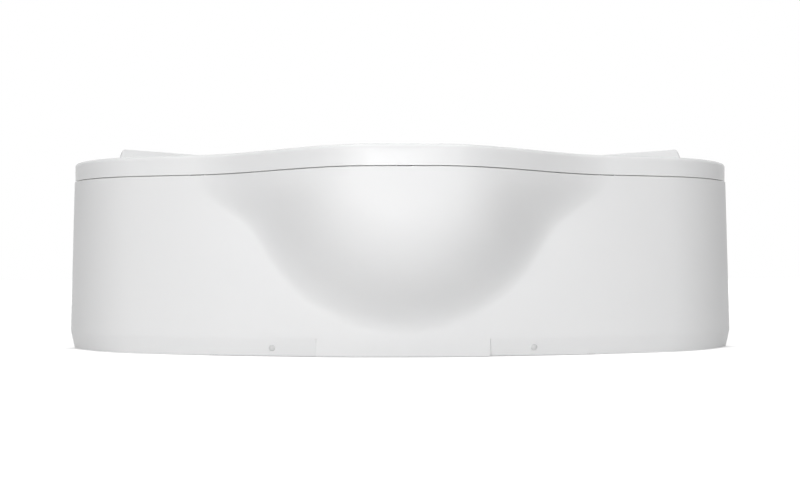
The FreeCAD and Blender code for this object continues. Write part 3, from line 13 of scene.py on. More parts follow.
import bmesh
import bpy
import numpy as np
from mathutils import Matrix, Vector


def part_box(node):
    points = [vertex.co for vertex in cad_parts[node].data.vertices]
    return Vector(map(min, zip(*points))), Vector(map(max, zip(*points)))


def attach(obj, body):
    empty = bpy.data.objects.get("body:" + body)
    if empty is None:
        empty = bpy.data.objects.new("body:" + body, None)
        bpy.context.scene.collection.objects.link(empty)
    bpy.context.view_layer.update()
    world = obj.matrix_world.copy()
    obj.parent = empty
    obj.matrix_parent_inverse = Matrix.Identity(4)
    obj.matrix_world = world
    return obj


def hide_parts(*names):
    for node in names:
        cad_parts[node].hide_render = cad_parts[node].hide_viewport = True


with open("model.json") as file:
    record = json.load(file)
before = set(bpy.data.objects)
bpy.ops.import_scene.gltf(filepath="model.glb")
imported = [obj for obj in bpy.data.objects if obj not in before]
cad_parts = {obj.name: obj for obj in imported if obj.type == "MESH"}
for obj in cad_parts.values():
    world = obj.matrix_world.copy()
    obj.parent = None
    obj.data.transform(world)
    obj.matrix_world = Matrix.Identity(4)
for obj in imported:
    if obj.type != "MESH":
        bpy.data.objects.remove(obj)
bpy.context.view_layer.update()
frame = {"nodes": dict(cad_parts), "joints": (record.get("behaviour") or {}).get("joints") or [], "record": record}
LOG = logging.getLogger("bath")
Triple = tuple[float, float, float]
Array = np.ndarray
Piece = bpy.types.Object
Tree = bpy.types.NodeTree
Socket = bpy.types.NodeSocket
WHITE = (1.0, 1.0, 1.0, 1.0)
UP = np.array([0.0, 0.0, 1.0])


class Slot(Enum):
    """Finishes by the names of the record's material slots."""

    TUB = "white_acrylic"
    PANEL = "panel_acrylic"
    CAP = "cap_plastic"
    RUBBER = "rubber"
    CHROME = "chrome"
    WASTE = "waste_plastic"
    BLACK = "black_plastic"
    BOARD = "board"
    TUBE = "galvanised_tube"
    ZINC = "zinc_steel"
    BRACKET_AND_SEAM_SHADE = "black_steel"


class Bench:
    """Places shader nodes in one tree and feeds their inputs."""

    def __init__(self, tree: Tree) -> None:
        """Takes the tree that nodes go into."""
        self.tree = tree

    def place(self, kind: str, feeds: dict[int | str, object] | None = None, **settings: object) -> bpy.types.Node:
        """Adds a node, sets its properties and feeds its inputs.

        Args:
            kind: Blender's name of the node type.
            feeds: Sockets or constants by input name or number.
            settings: Property values by name.

        Returns:
            The new node.
        """
        made = self.tree.nodes.new(kind)
        for name, value in settings.items():
            setattr(made, name, value)
        self.feed(made, feeds or {})
        return made

    def feed(self, node: bpy.types.Node, feeds: dict[int | str, object]) -> None:
        """Links sockets to a node's inputs and sets constants on the others, by input name or number."""
        for name, value in feeds.items():
            if isinstance(value, Socket):
                self.tree.links.new(value, node.inputs[name])
            else:
                node.inputs[name].default_value = value

    def math(self, operation: str, *values: object) -> Socket:
        """Places a math node on sockets or constants and returns its result."""
        return self.place("ShaderNodeMath", dict(enumerate(values)), operation=operation).outputs[0]


def effect(name: str, inputs: dict[str, str],
           outputs: dict[str, str]) -> tuple[Bench, bpy.types.NodeOutputs, bpy.types.Node]:
    """Starts a shader node group with named sockets.

    Args:
        name: The group's name.
        inputs: Socket types by input name.
        outputs: Socket types by output name.

    Returns:
        The group's bench, its input sockets by name and its output node.
    """
    made = bpy.data.node_groups.new(name, "ShaderNodeTree")
    for direction, sockets in (("INPUT", inputs), ("OUTPUT", outputs)):
        for socket, kind in sockets.items():
            made.interface.new_socket(name=socket, in_out=direction, socket_type="NodeSocket" + kind)
    bench = Bench(made)
    return bench, bench.place("NodeGroupInput").outputs, bench.place("NodeGroupOutput")


@cache
def clouds() -> Tree:
    """Group: soft noise that swings a value around a level, as wiped and handled surfaces do."""
    bench, given, result = effect("Clouded value", {"Vector": "Vector", "Scale": "Float", "Level": "Float",
                                                    "Swing": "Float"}, {"Value": "Float", "Mask": "Float"})
    noise = bench.place("ShaderNodeTexNoise", {"Vector": given["Vector"], "Scale": given["Scale"], "Detail": 4.0})
    centred = bench.math("SUBTRACT", noise.outputs["Fac"], 0.5)
    swung = bench.math("MULTIPLY_ADD", centred, given["Swing"], given["Level"])
    bench.feed(result, {"Value": swung, "Mask": noise.outputs["Fac"]})
    return bench.tree


@cache
def grain() -> Tree:
    """Group: height of a moulded or coated skin, fine noise over a slower ripple."""
    bench, given, result = effect("Skin grain", {"Vector": "Vector", "Fine scale": "Float", "Ripple scale": "Float",
                                                 "Ripple share": "Float"}, {"Height": "Float"})
    fine = bench.place("ShaderNodeTexNoise", {"Vector": given["Vector"], "Scale": given["Fine scale"]})
    ripple = bench.place("ShaderNodeTexNoise", {"Vector": given["Vector"], "Scale": given["Ripple scale"],
                                                "Detail": 1.0})
    both = bench.place("ShaderNodeMix", {0: given["Ripple share"], 2: fine.outputs["Fac"], 3: ripple.outputs["Fac"]},
                       data_type="FLOAT")
    bench.feed(result, {"Height": both.outputs[0]})
    return bench.tree


@cache
def flakes() -> Tree:
    """Group: cells with a tone each, for zinc crystals, wood chips and chopped strands."""
    bench, given, result = effect("Flakes", {"Vector": "Vector", "Scale": "Float", "Stretch": "Vector"},
                                  {"Tone": "Float", "Edge": "Float"})
    warped = bench.place("ShaderNodeVectorMath", {0: given["Vector"], 1: given["Stretch"]}, operation="MULTIPLY")
    cells = bench.place("ShaderNodeTexVoronoi", {"Vector": warped.outputs[0], "Scale": given["Scale"]})
    split = bench.place("ShaderNodeSeparateColor", {0: cells.outputs["Color"]})
    bench.feed(result, {"Tone": split.outputs[0], "Edge": cells.outputs["Distance"]})
    return bench.tree


@dataclass(frozen=True)
class Finish:
    """A surface: two tones that drift into each other, a clouded gloss and a grain.

    Sizes are given as noise scales in cells per metre, and the grain's depth in metres.
    """

    name: str
    tone: Triple
    shade: Triple
    roughness: float
    swing: float
    metallic: float = 0.0
    specular: float = 0.5
    cloud_scale: float = 6.0
    fine_scale: float = 900.0
    ripple_scale: float = 12.0
    ripple_share: float = 0.3
    depth: float = 0.0002

    def material(self) -> bpy.types.Material:
        """Finds or builds the finish as a node material."""
        found = bpy.data.materials.get(self.name)
        if found:
            return found
        made = bpy.data.materials.new(self.name)
        made.use_nodes = True
        bench = Bench(made.node_tree)
        place = bench.place("ShaderNodeTexCoord").outputs["Object"]
        gloss = bench.place("ShaderNodeGroup", {"Vector": place, "Scale": self.cloud_scale, "Level": self.roughness,
                                                "Swing": self.swing}, node_tree=clouds())
        relief = bench.place("ShaderNodeBump", {"Distance": self.depth, "Height": self.height(bench, place)})
        bench.feed(made.node_tree.nodes["Principled BSDF"], {
            "Base Color": self.colour(bench, place, gloss.outputs["Mask"]), "Metallic": self.metallic,
            "Roughness": gloss.outputs["Value"], "Specular IOR Level": self.specular,
            "Normal": relief.outputs["Normal"]})
        return made

    def colour(self, bench: Bench, place: Socket, mask: Socket) -> Socket:
        """Mixes the two tones by a mask.

        Args:
            bench: Where nodes are placed.
            place: Object coordinates.
            mask: Soft noise from 0 to 1.

        Returns:
            The colour socket.
        """
        tones = bench.place("ShaderNodeMix", {0: mask, 6: (*self.tone, 1.0), 7: (*self.shade, 1.0)},
                            data_type="RGBA")
        return tones.outputs[2]

    def height(self, bench: Bench, place: Socket) -> Socket:
        """Places the grain.

        Args:
            bench: Where nodes are placed.
            place: Object coordinates.

        Returns:
            The height socket.
        """
        skin = bench.place("ShaderNodeGroup", {"Vector": place, "Fine scale": self.fine_scale,
                                               "Ripple scale": self.ripple_scale, "Ripple share": self.ripple_share},
                           node_tree=grain())
        return skin.outputs["Height"]


@dataclass(frozen=True)
class FlakeFinish(Finish):
    """A finish whose tones come in flakes: zinc crystals, wood chips or chopped strands."""

    flake_scale: float = 120.0
    stretch: Triple = (1.0, 1.0, 1.0)

    def flake(self, bench: Bench, place: Socket) -> bpy.types.Node:
        """Places the flakes and returns their node."""
        return bench.place("ShaderNodeGroup", {"Vector": place, "Scale": self.flake_scale, "Stretch": self.stretch},
                           node_tree=flakes())

    def colour(self, bench: Bench, place: Socket, mask: Socket) -> Socket:
        """Mixes the two tones by each flake's own tone; see the plain finish."""
        return super().colour(bench, place, self.flake(bench, place).outputs["Tone"])

    def height(self, bench: Bench, place: Socket) -> Socket:
        """Raises each flake towards its middle."""
        return self.flake(bench, place).outputs["Edge"]


BACKING = FlakeFinish("Glass-fibre backing", (0.80, 0.78, 0.70), (0.62, 0.60, 0.52), 0.5, 0.2, depth=0.0012,
                      flake_scale=70.0, stretch=(1.0, 2.6, 1.6))
FINISHES: dict[Slot, Finish] = {
    Slot.TUB: Finish("White acrylic", (0.90, 0.90, 0.90), (0.875, 0.88, 0.885), 0.22, 0.05, specular=0.3,
                     cloud_scale=4.0, fine_scale=300.0, ripple_scale=9.0, ripple_share=0.8, depth=0.0001),
    Slot.PANEL: Finish("Panel acrylic", (0.895, 0.895, 0.895), (0.87, 0.873, 0.878), 0.34, 0.06, specular=0.2,
                       cloud_scale=3.0, fine_scale=300.0, ripple_scale=7.0, ripple_share=0.8, depth=0.0001),
    # The caps' grey, darker than the panel's white, is painted shade for the shading on their small domes.
    Slot.CAP: Finish("Caps with painted shade", (0.76, 0.76, 0.76), (0.70, 0.70, 0.70), 0.28, 0.08, fine_scale=2500.0,
                     cloud_scale=90.0, depth=0.00002),
    Slot.RUBBER: Finish("Black rubber", (0.035, 0.034, 0.033), (0.06, 0.058, 0.055), 0.75, 0.2, fine_scale=2200.0,
                        cloud_scale=60.0, depth=0.00008),
    Slot.CHROME: Finish("Polished chrome", (0.80, 0.81, 0.83), (0.74, 0.75, 0.77), 0.06, 0.05, metallic=1.0,
                        cloud_scale=40.0, fine_scale=1500.0, depth=0.000004),
    Slot.WASTE: Finish("Satin white plastic", (0.82, 0.82, 0.80), (0.77, 0.77, 0.745), 0.38, 0.12,
                       cloud_scale=30.0, fine_scale=1800.0, depth=0.00004),
    Slot.BLACK: Finish("Satin black plastic", (0.022, 0.022, 0.024), (0.04, 0.04, 0.042), 0.42, 0.15,
                       cloud_scale=45.0, fine_scale=2400.0, depth=0.00005),
    Slot.BOARD: FlakeFinish("Chip board", (0.62, 0.47, 0.30), (0.42, 0.29, 0.17), 0.75, 0.15, cloud_scale=20.0,
                            depth=0.0003, flake_scale=150.0, stretch=(1.0, 2.2, 4.0)),
    Slot.TUBE: FlakeFinish("Galvanised tube", (0.66, 0.67, 0.69), (0.47, 0.48, 0.50), 0.36, 0.16, metallic=1.0,
                           cloud_scale=25.0, depth=0.00002, flake_scale=85.0),
    Slot.ZINC: Finish("Bright zinc", (0.70, 0.70, 0.67), (0.58, 0.58, 0.56), 0.26, 0.14, metallic=1.0,
                      cloud_scale=70.0, fine_scale=1600.0, depth=0.00001),
    # Black on the panel's top brackets: where they show through the seam gap it is painted shade that keeps the seam's
    # dark line unbroken.
    Slot.BRACKET_AND_SEAM_SHADE: Finish("Black coat and seam shade", (0.03, 0.03, 0.03), (0.045, 0.045, 0.044), 0.6, 0.15,
                         cloud_scale=70.0, fine_scale=2600.0, depth=0.00006),
}


def quads(rows: int, columns: int, closed_rows: bool, closed_columns: bool) -> Array:
    """Corner numbers of the cells of a grid whose points are numbered row by row.

    Args:
        rows: Points down the grid.
        columns: Points across the grid.
        closed_rows: Whether the last row joins the first.
        closed_columns: Whether the last column joins the first.

    Returns:
        An array of four corners per cell.
    """
    down = np.arange(rows if closed_rows else rows - 1)[:, None]
    across = np.arange(columns if closed_columns else columns - 1)[None, :]
    below, right = (down + 1) % rows, (across + 1) % columns
    cells = np.stack([down * columns + across, down * columns + right, below * columns + right,
                      below * columns + across], axis=-1)
    return cells.reshape(-1, 4)


def surface(name: str, points: Array, faces: Array, crease: float = 35.0) -> Piece:
    """Makes a smooth mesh piece from points and quads, with its doubles merged and faces outwards.

    Args:
        name: The piece's name.
        points: Places as rows of three numbers.
        faces: Four corner numbers per face.
        crease: Angle in degrees past which an edge stays sharp.

    Returns:
        The piece, linked to the scene.
    """
    mesh = bpy.data.meshes.new(name)
    mesh.vertices.add(len(points))
    mesh.vertices.foreach_set("co", points.astype(np.float32).ravel())
    mesh.loops.add(faces.size)
    mesh.loops.foreach_set("vertex_index", faces.astype(np.int32).ravel())
    mesh.polygons.add(len(faces))
    mesh.polygons.foreach_set("loop_start", np.arange(0, faces.size, 4, dtype=np.int32))
    mesh.polygons.foreach_set("use_smooth", np.ones(len(faces), dtype=bool))
    mesh.update(calc_edges=True)
    work = bmesh.new()
    work.from_mesh(mesh)
    bmesh.ops.remove_doubles(work, verts=work.verts, dist=1e-6)
    bmesh.ops.recalc_face_normals(work, faces=work.faces)
    work.to_mesh(mesh)
    work.free()
    mesh.set_sharp_from_angle(angle=math.radians(crease))
    piece = bpy.data.objects.new(name, mesh)
    bpy.context.scene.collection.objects.link(piece)
    return piece


def dress(piece: Piece, slot: Slot, body: str, *nodes: str, finish: Finish | None = None) -> None:
    """Gives a piece its slot's finish and its body, and hides the CAD nodes that it stands for.

    Args:
        piece: The mesh piece.
        slot: The record's slot of its finish.
        body: The body it rides on.
        nodes: CAD nodes that it replaces.
        finish: A finish other than the slot's own.
    """
    piece.data.materials.append((finish or FINISHES[slot]).material())
    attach(piece, body)
    if nodes:
        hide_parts(*nodes)
    LOG.info("%s: %d faces on %s", piece.name, len(piece.data.polygons), body)


def ease(share: Array) -> Array:
    """A smooth step from 0 to 1: three squares less two cubes of the share."""
    share = np.clip(share, 0.0, 1.0)
    return share * share * (3.0 - 2.0 * share)


@dataclass(frozen=True)
class Chain:
    """A path in plan of tangent arcs and lines, each with a bend (1 / radius) and a length."""

    start: tuple[float, float]
    heading: float
    bends: tuple[float, ...]
    lengths: tuple[float, ...]

    def knots(self) -> tuple[Array, Array, Array]:
        """Lengths walked, headings and places at the start of every stretch and at the end."""
        walked = np.concatenate([[0.0], np.cumsum(self.lengths)])
        headings = self.heading + np.concatenate([[0.0], np.cumsum(np.multiply(self.bends, self.lengths))])
        steps = [self.step(bend, turn, length) for bend, turn, length in zip(self.bends, headings, self.lengths)]
        places = np.cumsum(np.vstack([self.start] + steps), axis=0)
        return walked, headings, places

    @staticmethod
    def step(bend: Array, heading: Array, length: Array) -> Array:
        """The move along an arc or line: the integral of (cos, sin) of a heading that turns steadily."""
        half = np.multiply(bend, length) / 2.0
        chord = length * np.sinc(half / np.pi)
        middle = heading + half
        return np.stack([chord * np.cos(middle), chord * np.sin(middle)], axis=-1)

    def walk(self, lengths: Array) -> tuple[Array, Array]:
        """Places and headings after walking some lengths.

        Args:
            lengths: Distances from the start.

        Returns:
            Places as rows of two numbers, and headings in radians.
        """
        walked, headings, places = self.knots()
        part = np.clip(np.searchsorted(walked, lengths, side="right") - 1, 0, len(self.bends) - 1)
        along = lengths - walked[part]
        bend = np.asarray(self.bends)[part]
        return places[part] + self.step(bend, headings[part], along), headings[part] + bend * along


@dataclass(frozen=True)
class BathPlan:
    """Plan and levels of the bath, in metres and radians, as the part's own sheet has them.

    Only the raised deck's ends start further back than in the solids: that is the setback less half the ramp.
    """

    side: float = 1.5
    front_radius: float = 2.87
    end_run: float = 0.242
    end_corner: float = 0.025
    back_corner: float = 0.06
    end_angle: float = math.radians(61.8)
    wall_angle: float = math.radians(135.0)
    flank_angle: float = math.radians(39.0)
    waist_angle: float = math.radians(12.0)
    bowl_depth: float = 0.229
    bowl_lead: float = 0.00794
    bowl_crown: float = 0.094
    bowl_foot: float = 0.625
    bowl_low_foot: float = 0.47
    bowl_edge_power: float = 40.0
    bowl_low_power: float = 1.6
    rim: float = 0.6
    fascia: float = 0.06
    rise: float = 0.058
    setback: float = 0.14
    ramp: float = 0.03
    mouth_ramp: float = 0.09
    deck_front: float = 0.11
    deck_wall: float = 0.095
    shelf: float = 0.48
    crown_radius: float = 0.4
    flank: float = 0.1
    waist_radius: float = 0.6
    lobe_radius: float = 0.23
    ramp_lead: float = 0.02
    back_radius: float = 0.42
    drain_setback: float = 0.62793

    def front_chain(self) -> Chain:
        """The right half of the front without its bowl, from the middle round the end to the wall's ramp."""
        half = self.side / math.sqrt(2.0)
        turn = math.asin((half - self.end_run) / self.front_radius)
        radius = (self.end_run - self.end_corner * (1.0 - math.sin(self.end_angle))) / (
            math.sin(self.end_angle) - math.sin(turn))
        lengths = (self.front_radius * turn, radius * (self.end_angle - turn),
                   self.end_corner * (self.wall_angle - self.end_angle), self.setback - self.ramp / 2.0)
        return Chain((0.0, 0.0), 0.0, (1.0 / self.front_radius, 1.0 / radius, 1.0 / self.end_corner, 0.0), lengths)

    def corner_run(self) -> float:
        """Distance from the front's base line to the sharp corner of the two walls."""
        end = self.front_chain().knots()[2][3]
        return float(end[0] + end[1])

    def base(self) -> float:
        """Where the front's base line lies in Y, with the whole bath centred on its box."""
        back = self.corner_run() - self.back_corner * (math.sqrt(2.0) - 1.0)
        return (self.bowl_depth + self.bowl_lead - back) / 2.0

    def drain(self) -> Array:
        """The drain's axis in plan."""
        return np.array([0.0, self.base() + self.drain_setback])

    def seam(self) -> float:
        """Level of the fascia's lower edge along the front."""
        return self.rim - self.fascia

    def bowl(self, across: Array, drop: Array) -> tuple[Array, Array]:
        """The bowl in the front: its depth times one less a smooth step of the distance from its centre.

        Along the seam the bowl runs out wide; below it, as a power of the cosine of the angle to the seam
        falls, the foot comes in and the share is raised to a power, which turns the foot sharper.

        Args:
            across: Distances from the middle.
            drop: Distances below the seam.

        Returns:
            How far the front stands out, and how fast that changes across.
        """
        step = 1e-5
        out, aside = (self.bowl_out(across + move, drop) for move in (0.0, step))
        return out, (aside - out) / step

    def bowl_out(self, across: Array, drop: Array) -> Array:
        """How far the bowl stands out; see bowl for the formula."""
        away = np.hypot(across, drop)
        edge = (np.abs(across) / np.maximum(away, 1e-9)) ** self.bowl_edge_power
        foot = self.bowl_low_foot + (self.bowl_foot - self.bowl_low_foot) * edge
        power = self.bowl_low_power + (1.0 - self.bowl_low_power) * edge
        share = np.clip((away - self.bowl_crown) / (foot - self.bowl_crown), 0.0, 1.0)
        return self.bowl_depth * (1.0 - ease(share ** power))

    def front(self, lengths: Array, drop: Array) -> tuple[Array, Array]:
        """The front at lengths along its base chain and drops below the seam.

        Args:
            lengths: Distances along the base chain from the middle.
            drop: Distances below the seam, broadcast against the lengths.

        Returns:
            Places and outward normals in plan.
        """
        base, heading = self.front_chain().walk(lengths)
        out, rate = self.bowl(base[..., 0], drop)
        across = np.broadcast_to(base[..., 0], out.shape)
        place = np.stack([across, self.base() + base[..., 1] - out], axis=-1)
        ahead = np.stack(np.broadcast_arrays(np.cos(heading), np.sin(heading) - rate * np.cos(heading)), axis=-1)
        ahead = ahead / np.linalg.norm(ahead, axis=-1, keepdims=True)
        return place, np.stack([ahead[..., 1], -ahead[..., 0]], axis=-1)

    def mouth_front(self) -> Chain:
        """The right half of the basin's mouth from the front's middle to the ramp."""
        start = (0.0, self.base() - self.bowl_depth + self.deck_front)
        bends = (1.0 / self.crown_radius, 0.0, -1.0 / self.waist_radius, 0.0, 1.0 / self.lobe_radius, 0.0)
        lengths = [self.crown_radius * self.flank_angle, self.flank,
                   self.waist_radius * (self.flank_angle - self.waist_angle), 0.0,
                   self.lobe_radius * (self.wall_angle - self.waist_angle), self.ramp_lead]
        end = Chain(start, 0.0, bends, tuple(lengths)).knots()[2][-1]
        missing = self.base() + self.corner_run() - self.deck_wall * math.sqrt(2.0) - end.sum()
        lengths[3] = missing / (math.cos(self.waist_angle) + math.sin(self.waist_angle))
        return Chain(start, 0.0, bends, tuple(lengths))

    def mouth_back(self) -> Chain:
        """The right half of the basin's mouth from the ramp to the back's middle."""
        end = self.mouth_front().knots()[2][-1]
        ahead = np.array([math.cos(self.wall_angle), math.sin(self.wall_angle)])
        start = end + ahead * self.mouth_ramp
        turn = math.pi - self.wall_angle
        arc = Chain.step(np.array(1.0 / self.back_radius), np.array(self.wall_angle), np.array(self.back_radius * turn))
        run = (self.base() + self.corner_run() - self.shelf - start[1] - arc[1]) / ahead[1]
        rest = start[0] + ahead[0] * run + arc[0]
        return Chain(tuple(start), self.wall_angle, (0.0, 1.0 / self.back_radius, 0.0),
                     (float(run), self.back_radius * turn, float(rest)))


@dataclass(frozen=True)
class Tub:
    """The moulded tub: fascia, rounded rim, deck with its ramps, rolled lip, basin and floor."""

    plan: BathPlan
    edge: float = 0.015
    wall: float = 0.006
    lip_drop: float = 0.026
    lip_run: float = 0.026
    wall_run: float = 0.155
    floor: float = 0.15
    fillet_rise: float = 0.08
    fillet_run: float = 0.06
    drain_hole: float = 0.026
    overflow_drop: float = 0.075
    overflow_hole: float = 0.0235
    front_columns: int = 190
    front_spread: tuple[float, ...] = (0.0, 0.52, 0.74, 0.88, 1.0)
    ramp_columns: int = 26
    back_columns: int = 116
    back_straight: float = 0.72
    side_rows: int = 5
    deck_rows: int = 8
    skin_fineness: int = 12
    backing_fineness: int = 7
    floor_spread: float = 0.8

    def columns(self) -> dict[str, Array]:
        """Plan places and normals of the columns of the right half: outline, mouth and headrest share.

        Along the ramps a column's place follows a cubic curve with level ends, and the share that it has
        climbed is a smooth step.

        Returns:
            Arrays named outer, outer_normal, mouth, mouth_normal and share.
        """
        plan = self.plan
        chain = plan.front_chain()
        knots = chain.knots()[0]
        share = np.linspace(0.0, 1.0, self.front_columns)
        front, front_normal = plan.front(np.interp(share, self.front_spread, knots), np.array(0.0))
        ahead = np.array([math.cos(plan.wall_angle), math.sin(plan.wall_angle)])
        step = np.linspace(0.0, 1.0, self.ramp_columns + 2)[1:-1]
        along = (1.5 * step * (1.0 - step) + step ** 3)[:, None] * ahead
        ramp = front[-1] + along * plan.ramp
        ramp_normal = np.repeat(front_normal[-1:], len(step), axis=0)
        share_back = np.linspace(0.0, 1.0, self.back_columns)
        begin = front[-1] + ahead * plan.ramp
        corner = plan.base() + plan.corner_run() - plan.back_corner * math.sqrt(2.0)
        turn = np.array([0.0, corner]) + plan.back_corner * front_normal[-1]
        line = begin + (turn - begin) * np.clip(share_back / self.back_straight, 0.0, 1.0)[:, None]
        bent = np.clip((share_back - self.back_straight) / (1.0 - self.back_straight), 0.0, 1.0)
        angle = math.pi / 4.0 * (1.0 + bent)
        arc_normal = np.stack([np.cos(angle), np.sin(angle)], axis=-1)
        back = line + plan.back_corner * (arc_normal - front_normal[-1])
        mouth_front, mouth_back = plan.mouth_front(), plan.mouth_back()
        near, near_heading = mouth_front.walk(share * sum(mouth_front.lengths))
        far, far_heading = mouth_back.walk(share_back * sum(mouth_back.lengths))
        heading = np.concatenate([near_heading, np.full(len(step), plan.wall_angle), far_heading])
        return {
            "outer": np.concatenate([front, ramp, back]),
            "outer_normal": np.concatenate([front_normal, ramp_normal, arc_normal]),
            "mouth": np.concatenate([near, near[-1] + along * plan.mouth_ramp, far]),
            "mouth_normal": np.stack([-np.sin(heading), np.cos(heading)], axis=-1),
            "share": np.concatenate([np.zeros(len(share)), ease(step), np.ones(len(share_back))]),
        }

    def inset(self, level: Array, depth: float) -> Array:
        """How far the sloping wall has come in from the mouth at a level, on a skin at a depth."""
        fall = self.plan.rim - self.floor
        return self.wall_run * (self.plan.rim - level) / fall - depth * math.hypot(1.0, self.wall_run / fall)

    @staticmethod
    def curl(start: Array, corner: Array, end: Array, steps: Array) -> Array:
        """Parabola from a start towards a corner and on to an end: the square-weighted mean of the three."""
        part = steps[:, None, None]
        return (1.0 - part) ** 2 * start + 2.0 * part * (1.0 - part) * corner + part ** 2 * end

    def profile(self, depth: float, fineness: int) -> tuple[Array, Array]:
        """Sections of a skin for the front and for the raised back, as (inset, level) pairs.

        Args:
            depth: How deep the skin lies under the tub's face.
            fineness: Steps in each rounding.

        Returns:
            Rim pairs of shape (rows, 2), and basin pairs of shape (rows, 2 columns, 2).
        """
        plan = self.plan
        turn = np.linspace(0.0, math.pi / 2.0, fineness)
        small = self.edge - depth
        rim = np.stack([self.edge - small * np.cos(turn), self.edge - small * np.sin(turn)], axis=-1)
        side = np.stack([np.full(self.side_rows, depth), np.linspace(plan.fascia, self.edge, self.side_rows)],
                        axis=-1)[:-1]
        rim = np.concatenate([side, rim])
        decks = np.array([plan.rim, plan.rim + plan.rise]) - depth
        at_deck = self.inset(decks, depth)
        low = decks - self.lip_drop
        lip = self.curl(np.stack([at_deck - self.lip_run, decks], axis=-1), np.stack([at_deck, decks], axis=-1),
                        np.stack([self.inset(low, depth), low], axis=-1), np.linspace(0.0, 1.0, fineness + 2))
        floor = self.floor - depth
        high = floor + self.fillet_rise
        foot = float(self.inset(np.array(floor), depth))
        top = np.tile([float(self.inset(np.array(high), depth)), high], (2, 1))
        fillet = self.curl(top, np.tile([foot, floor], (2, 1)), np.tile([foot + self.fillet_run, floor], (2, 1)),
                           np.linspace(0.0, 1.0, fineness + 6))
        rows = np.linspace(0.0, 1.0, 4 * fineness)[1:-1, None, None]
        wall = lip[-1] + (fillet[0] - lip[-1]) * rows
        return rim, np.concatenate([lip, wall, fillet])

    def skin(self, depth: float, fineness: int, hem: bool) -> Array:
        """Grid of a skin: fascia, rim, deck, lip, wall, fillet and floor down to the drain's hole.

        Every row is a closed ring. Rim rows move in from the outline, basin rows in from the mouth, the deck
        and the floor run straight between the rings on both sides of them.

        Args:
            depth: How deep the skin lies under the tub's face.
            fineness: Steps in each rounding.
            hem: Whether the first row is the lower edge's inner side.

        Returns:
            Points row by row.
        """
        plan, half = self.plan, self.columns()
        share = half["share"]
        rim, basin = self.profile(depth, fineness)
        if hem:
            rim = np.concatenate([[[self.wall, plan.fascia]], rim])
        outer = half["outer"][None] - rim[:, :1, None] * half["outer_normal"][None]
        outer = np.concatenate([outer, (plan.rim - rim[:, 1:2] + plan.rise * share[None])[..., None]], axis=-1)
        pairs = basin[:, :1] * (1.0 - share)[None, :, None] + basin[:, 1:] * share[None, :, None]
        inner = half["mouth"][None] + pairs[..., :1] * half["mouth_normal"][None]
        inner = np.concatenate([inner, pairs[..., 1:]], axis=-1)
        deck_step = np.linspace(0.0, 1.0, self.deck_rows)[1:-1, None, None]
        deck = outer[-1] + (inner[0] - outer[-1]) * deck_step
        spoke = inner[-1, :, :2] - plan.drain()
        hole = plan.drain() + self.drain_hole * spoke / np.linalg.norm(spoke, axis=-1, keepdims=True)
        hole = np.concatenate([hole, inner[-1, :, 2:]], axis=-1)
        floor_step = np.linspace(0.0, 1.0, fineness + 8)[1:, None, None] ** self.floor_spread
        floor = inner[-1] + (hole - inner[-1]) * floor_step
        right = np.concatenate([outer, deck, inner, floor])
        left = right[:, -2:0:-1] * np.array([-1.0, 1.0, 1.0])
        return np.concatenate([right, left], axis=1)

    def overflow_clear(self, points: Array, faces: Array, depth: float) -> Array:
        """Leaves out the faces inside the overflow's hole.

        Args:
            points: All points, one per row.
            faces: Corner numbers per face.
            depth: How deep the skin lies under the tub's face.

        Returns:
            The faces that stay.
        """
        plan = self.plan
        level = plan.rim - self.overflow_drop
        slope = math.atan2(plan.rim - self.floor, self.wall_run)
        back = plan.base() + plan.corner_run() - plan.shelf - float(self.inset(np.array(level), 0.0))
        axis = np.array([0.0, -math.sin(slope), math.cos(slope)])
        away = points[faces].mean(axis=1) - np.array([0.0, back, level])
        deep = away @ axis
        radial = np.linalg.norm(away - deep[:, None] * axis, axis=1)
        return faces[(radial > self.overflow_hole) | (np.abs(deep) > 2.0 * self.wall + depth)]

    def build(self) -> None:
        """Makes the glossy skin and the fibre backing, which both stand for the tub's solid."""
        for name, depth, fineness, finish in (("tub_skin", 0.0, self.skin_fineness, None),
                                              ("tub_backing", self.wall, self.backing_fineness, BACKING)):
            grid = self.skin(depth, fineness, depth == 0.0)
            points = grid.reshape(-1, 3)
            faces = self.overflow_clear(points, quads(*grid.shape[:2], False, True), depth)
            piece = surface(name, points, faces)
            self.face_out(piece, up=depth == 0.0)
            dress(piece, Slot.TUB, "tub", "tub_shell", finish=finish)

    @staticmethod
    def face_out(piece: Piece, up: bool) -> None:
        """Turns an open skin so that its deck faces up, or down for the backing."""
        mesh = piece.data
        normals = np.empty(len(mesh.polygons) * 3, dtype=np.float32)
        areas = np.empty(len(mesh.polygons), dtype=np.float32)
        mesh.polygons.foreach_get("normal", normals)
        mesh.polygons.foreach_get("area", areas)
        if (float(normals[2::3] @ areas) > 0.0) != up:
            mesh.flip_normals()


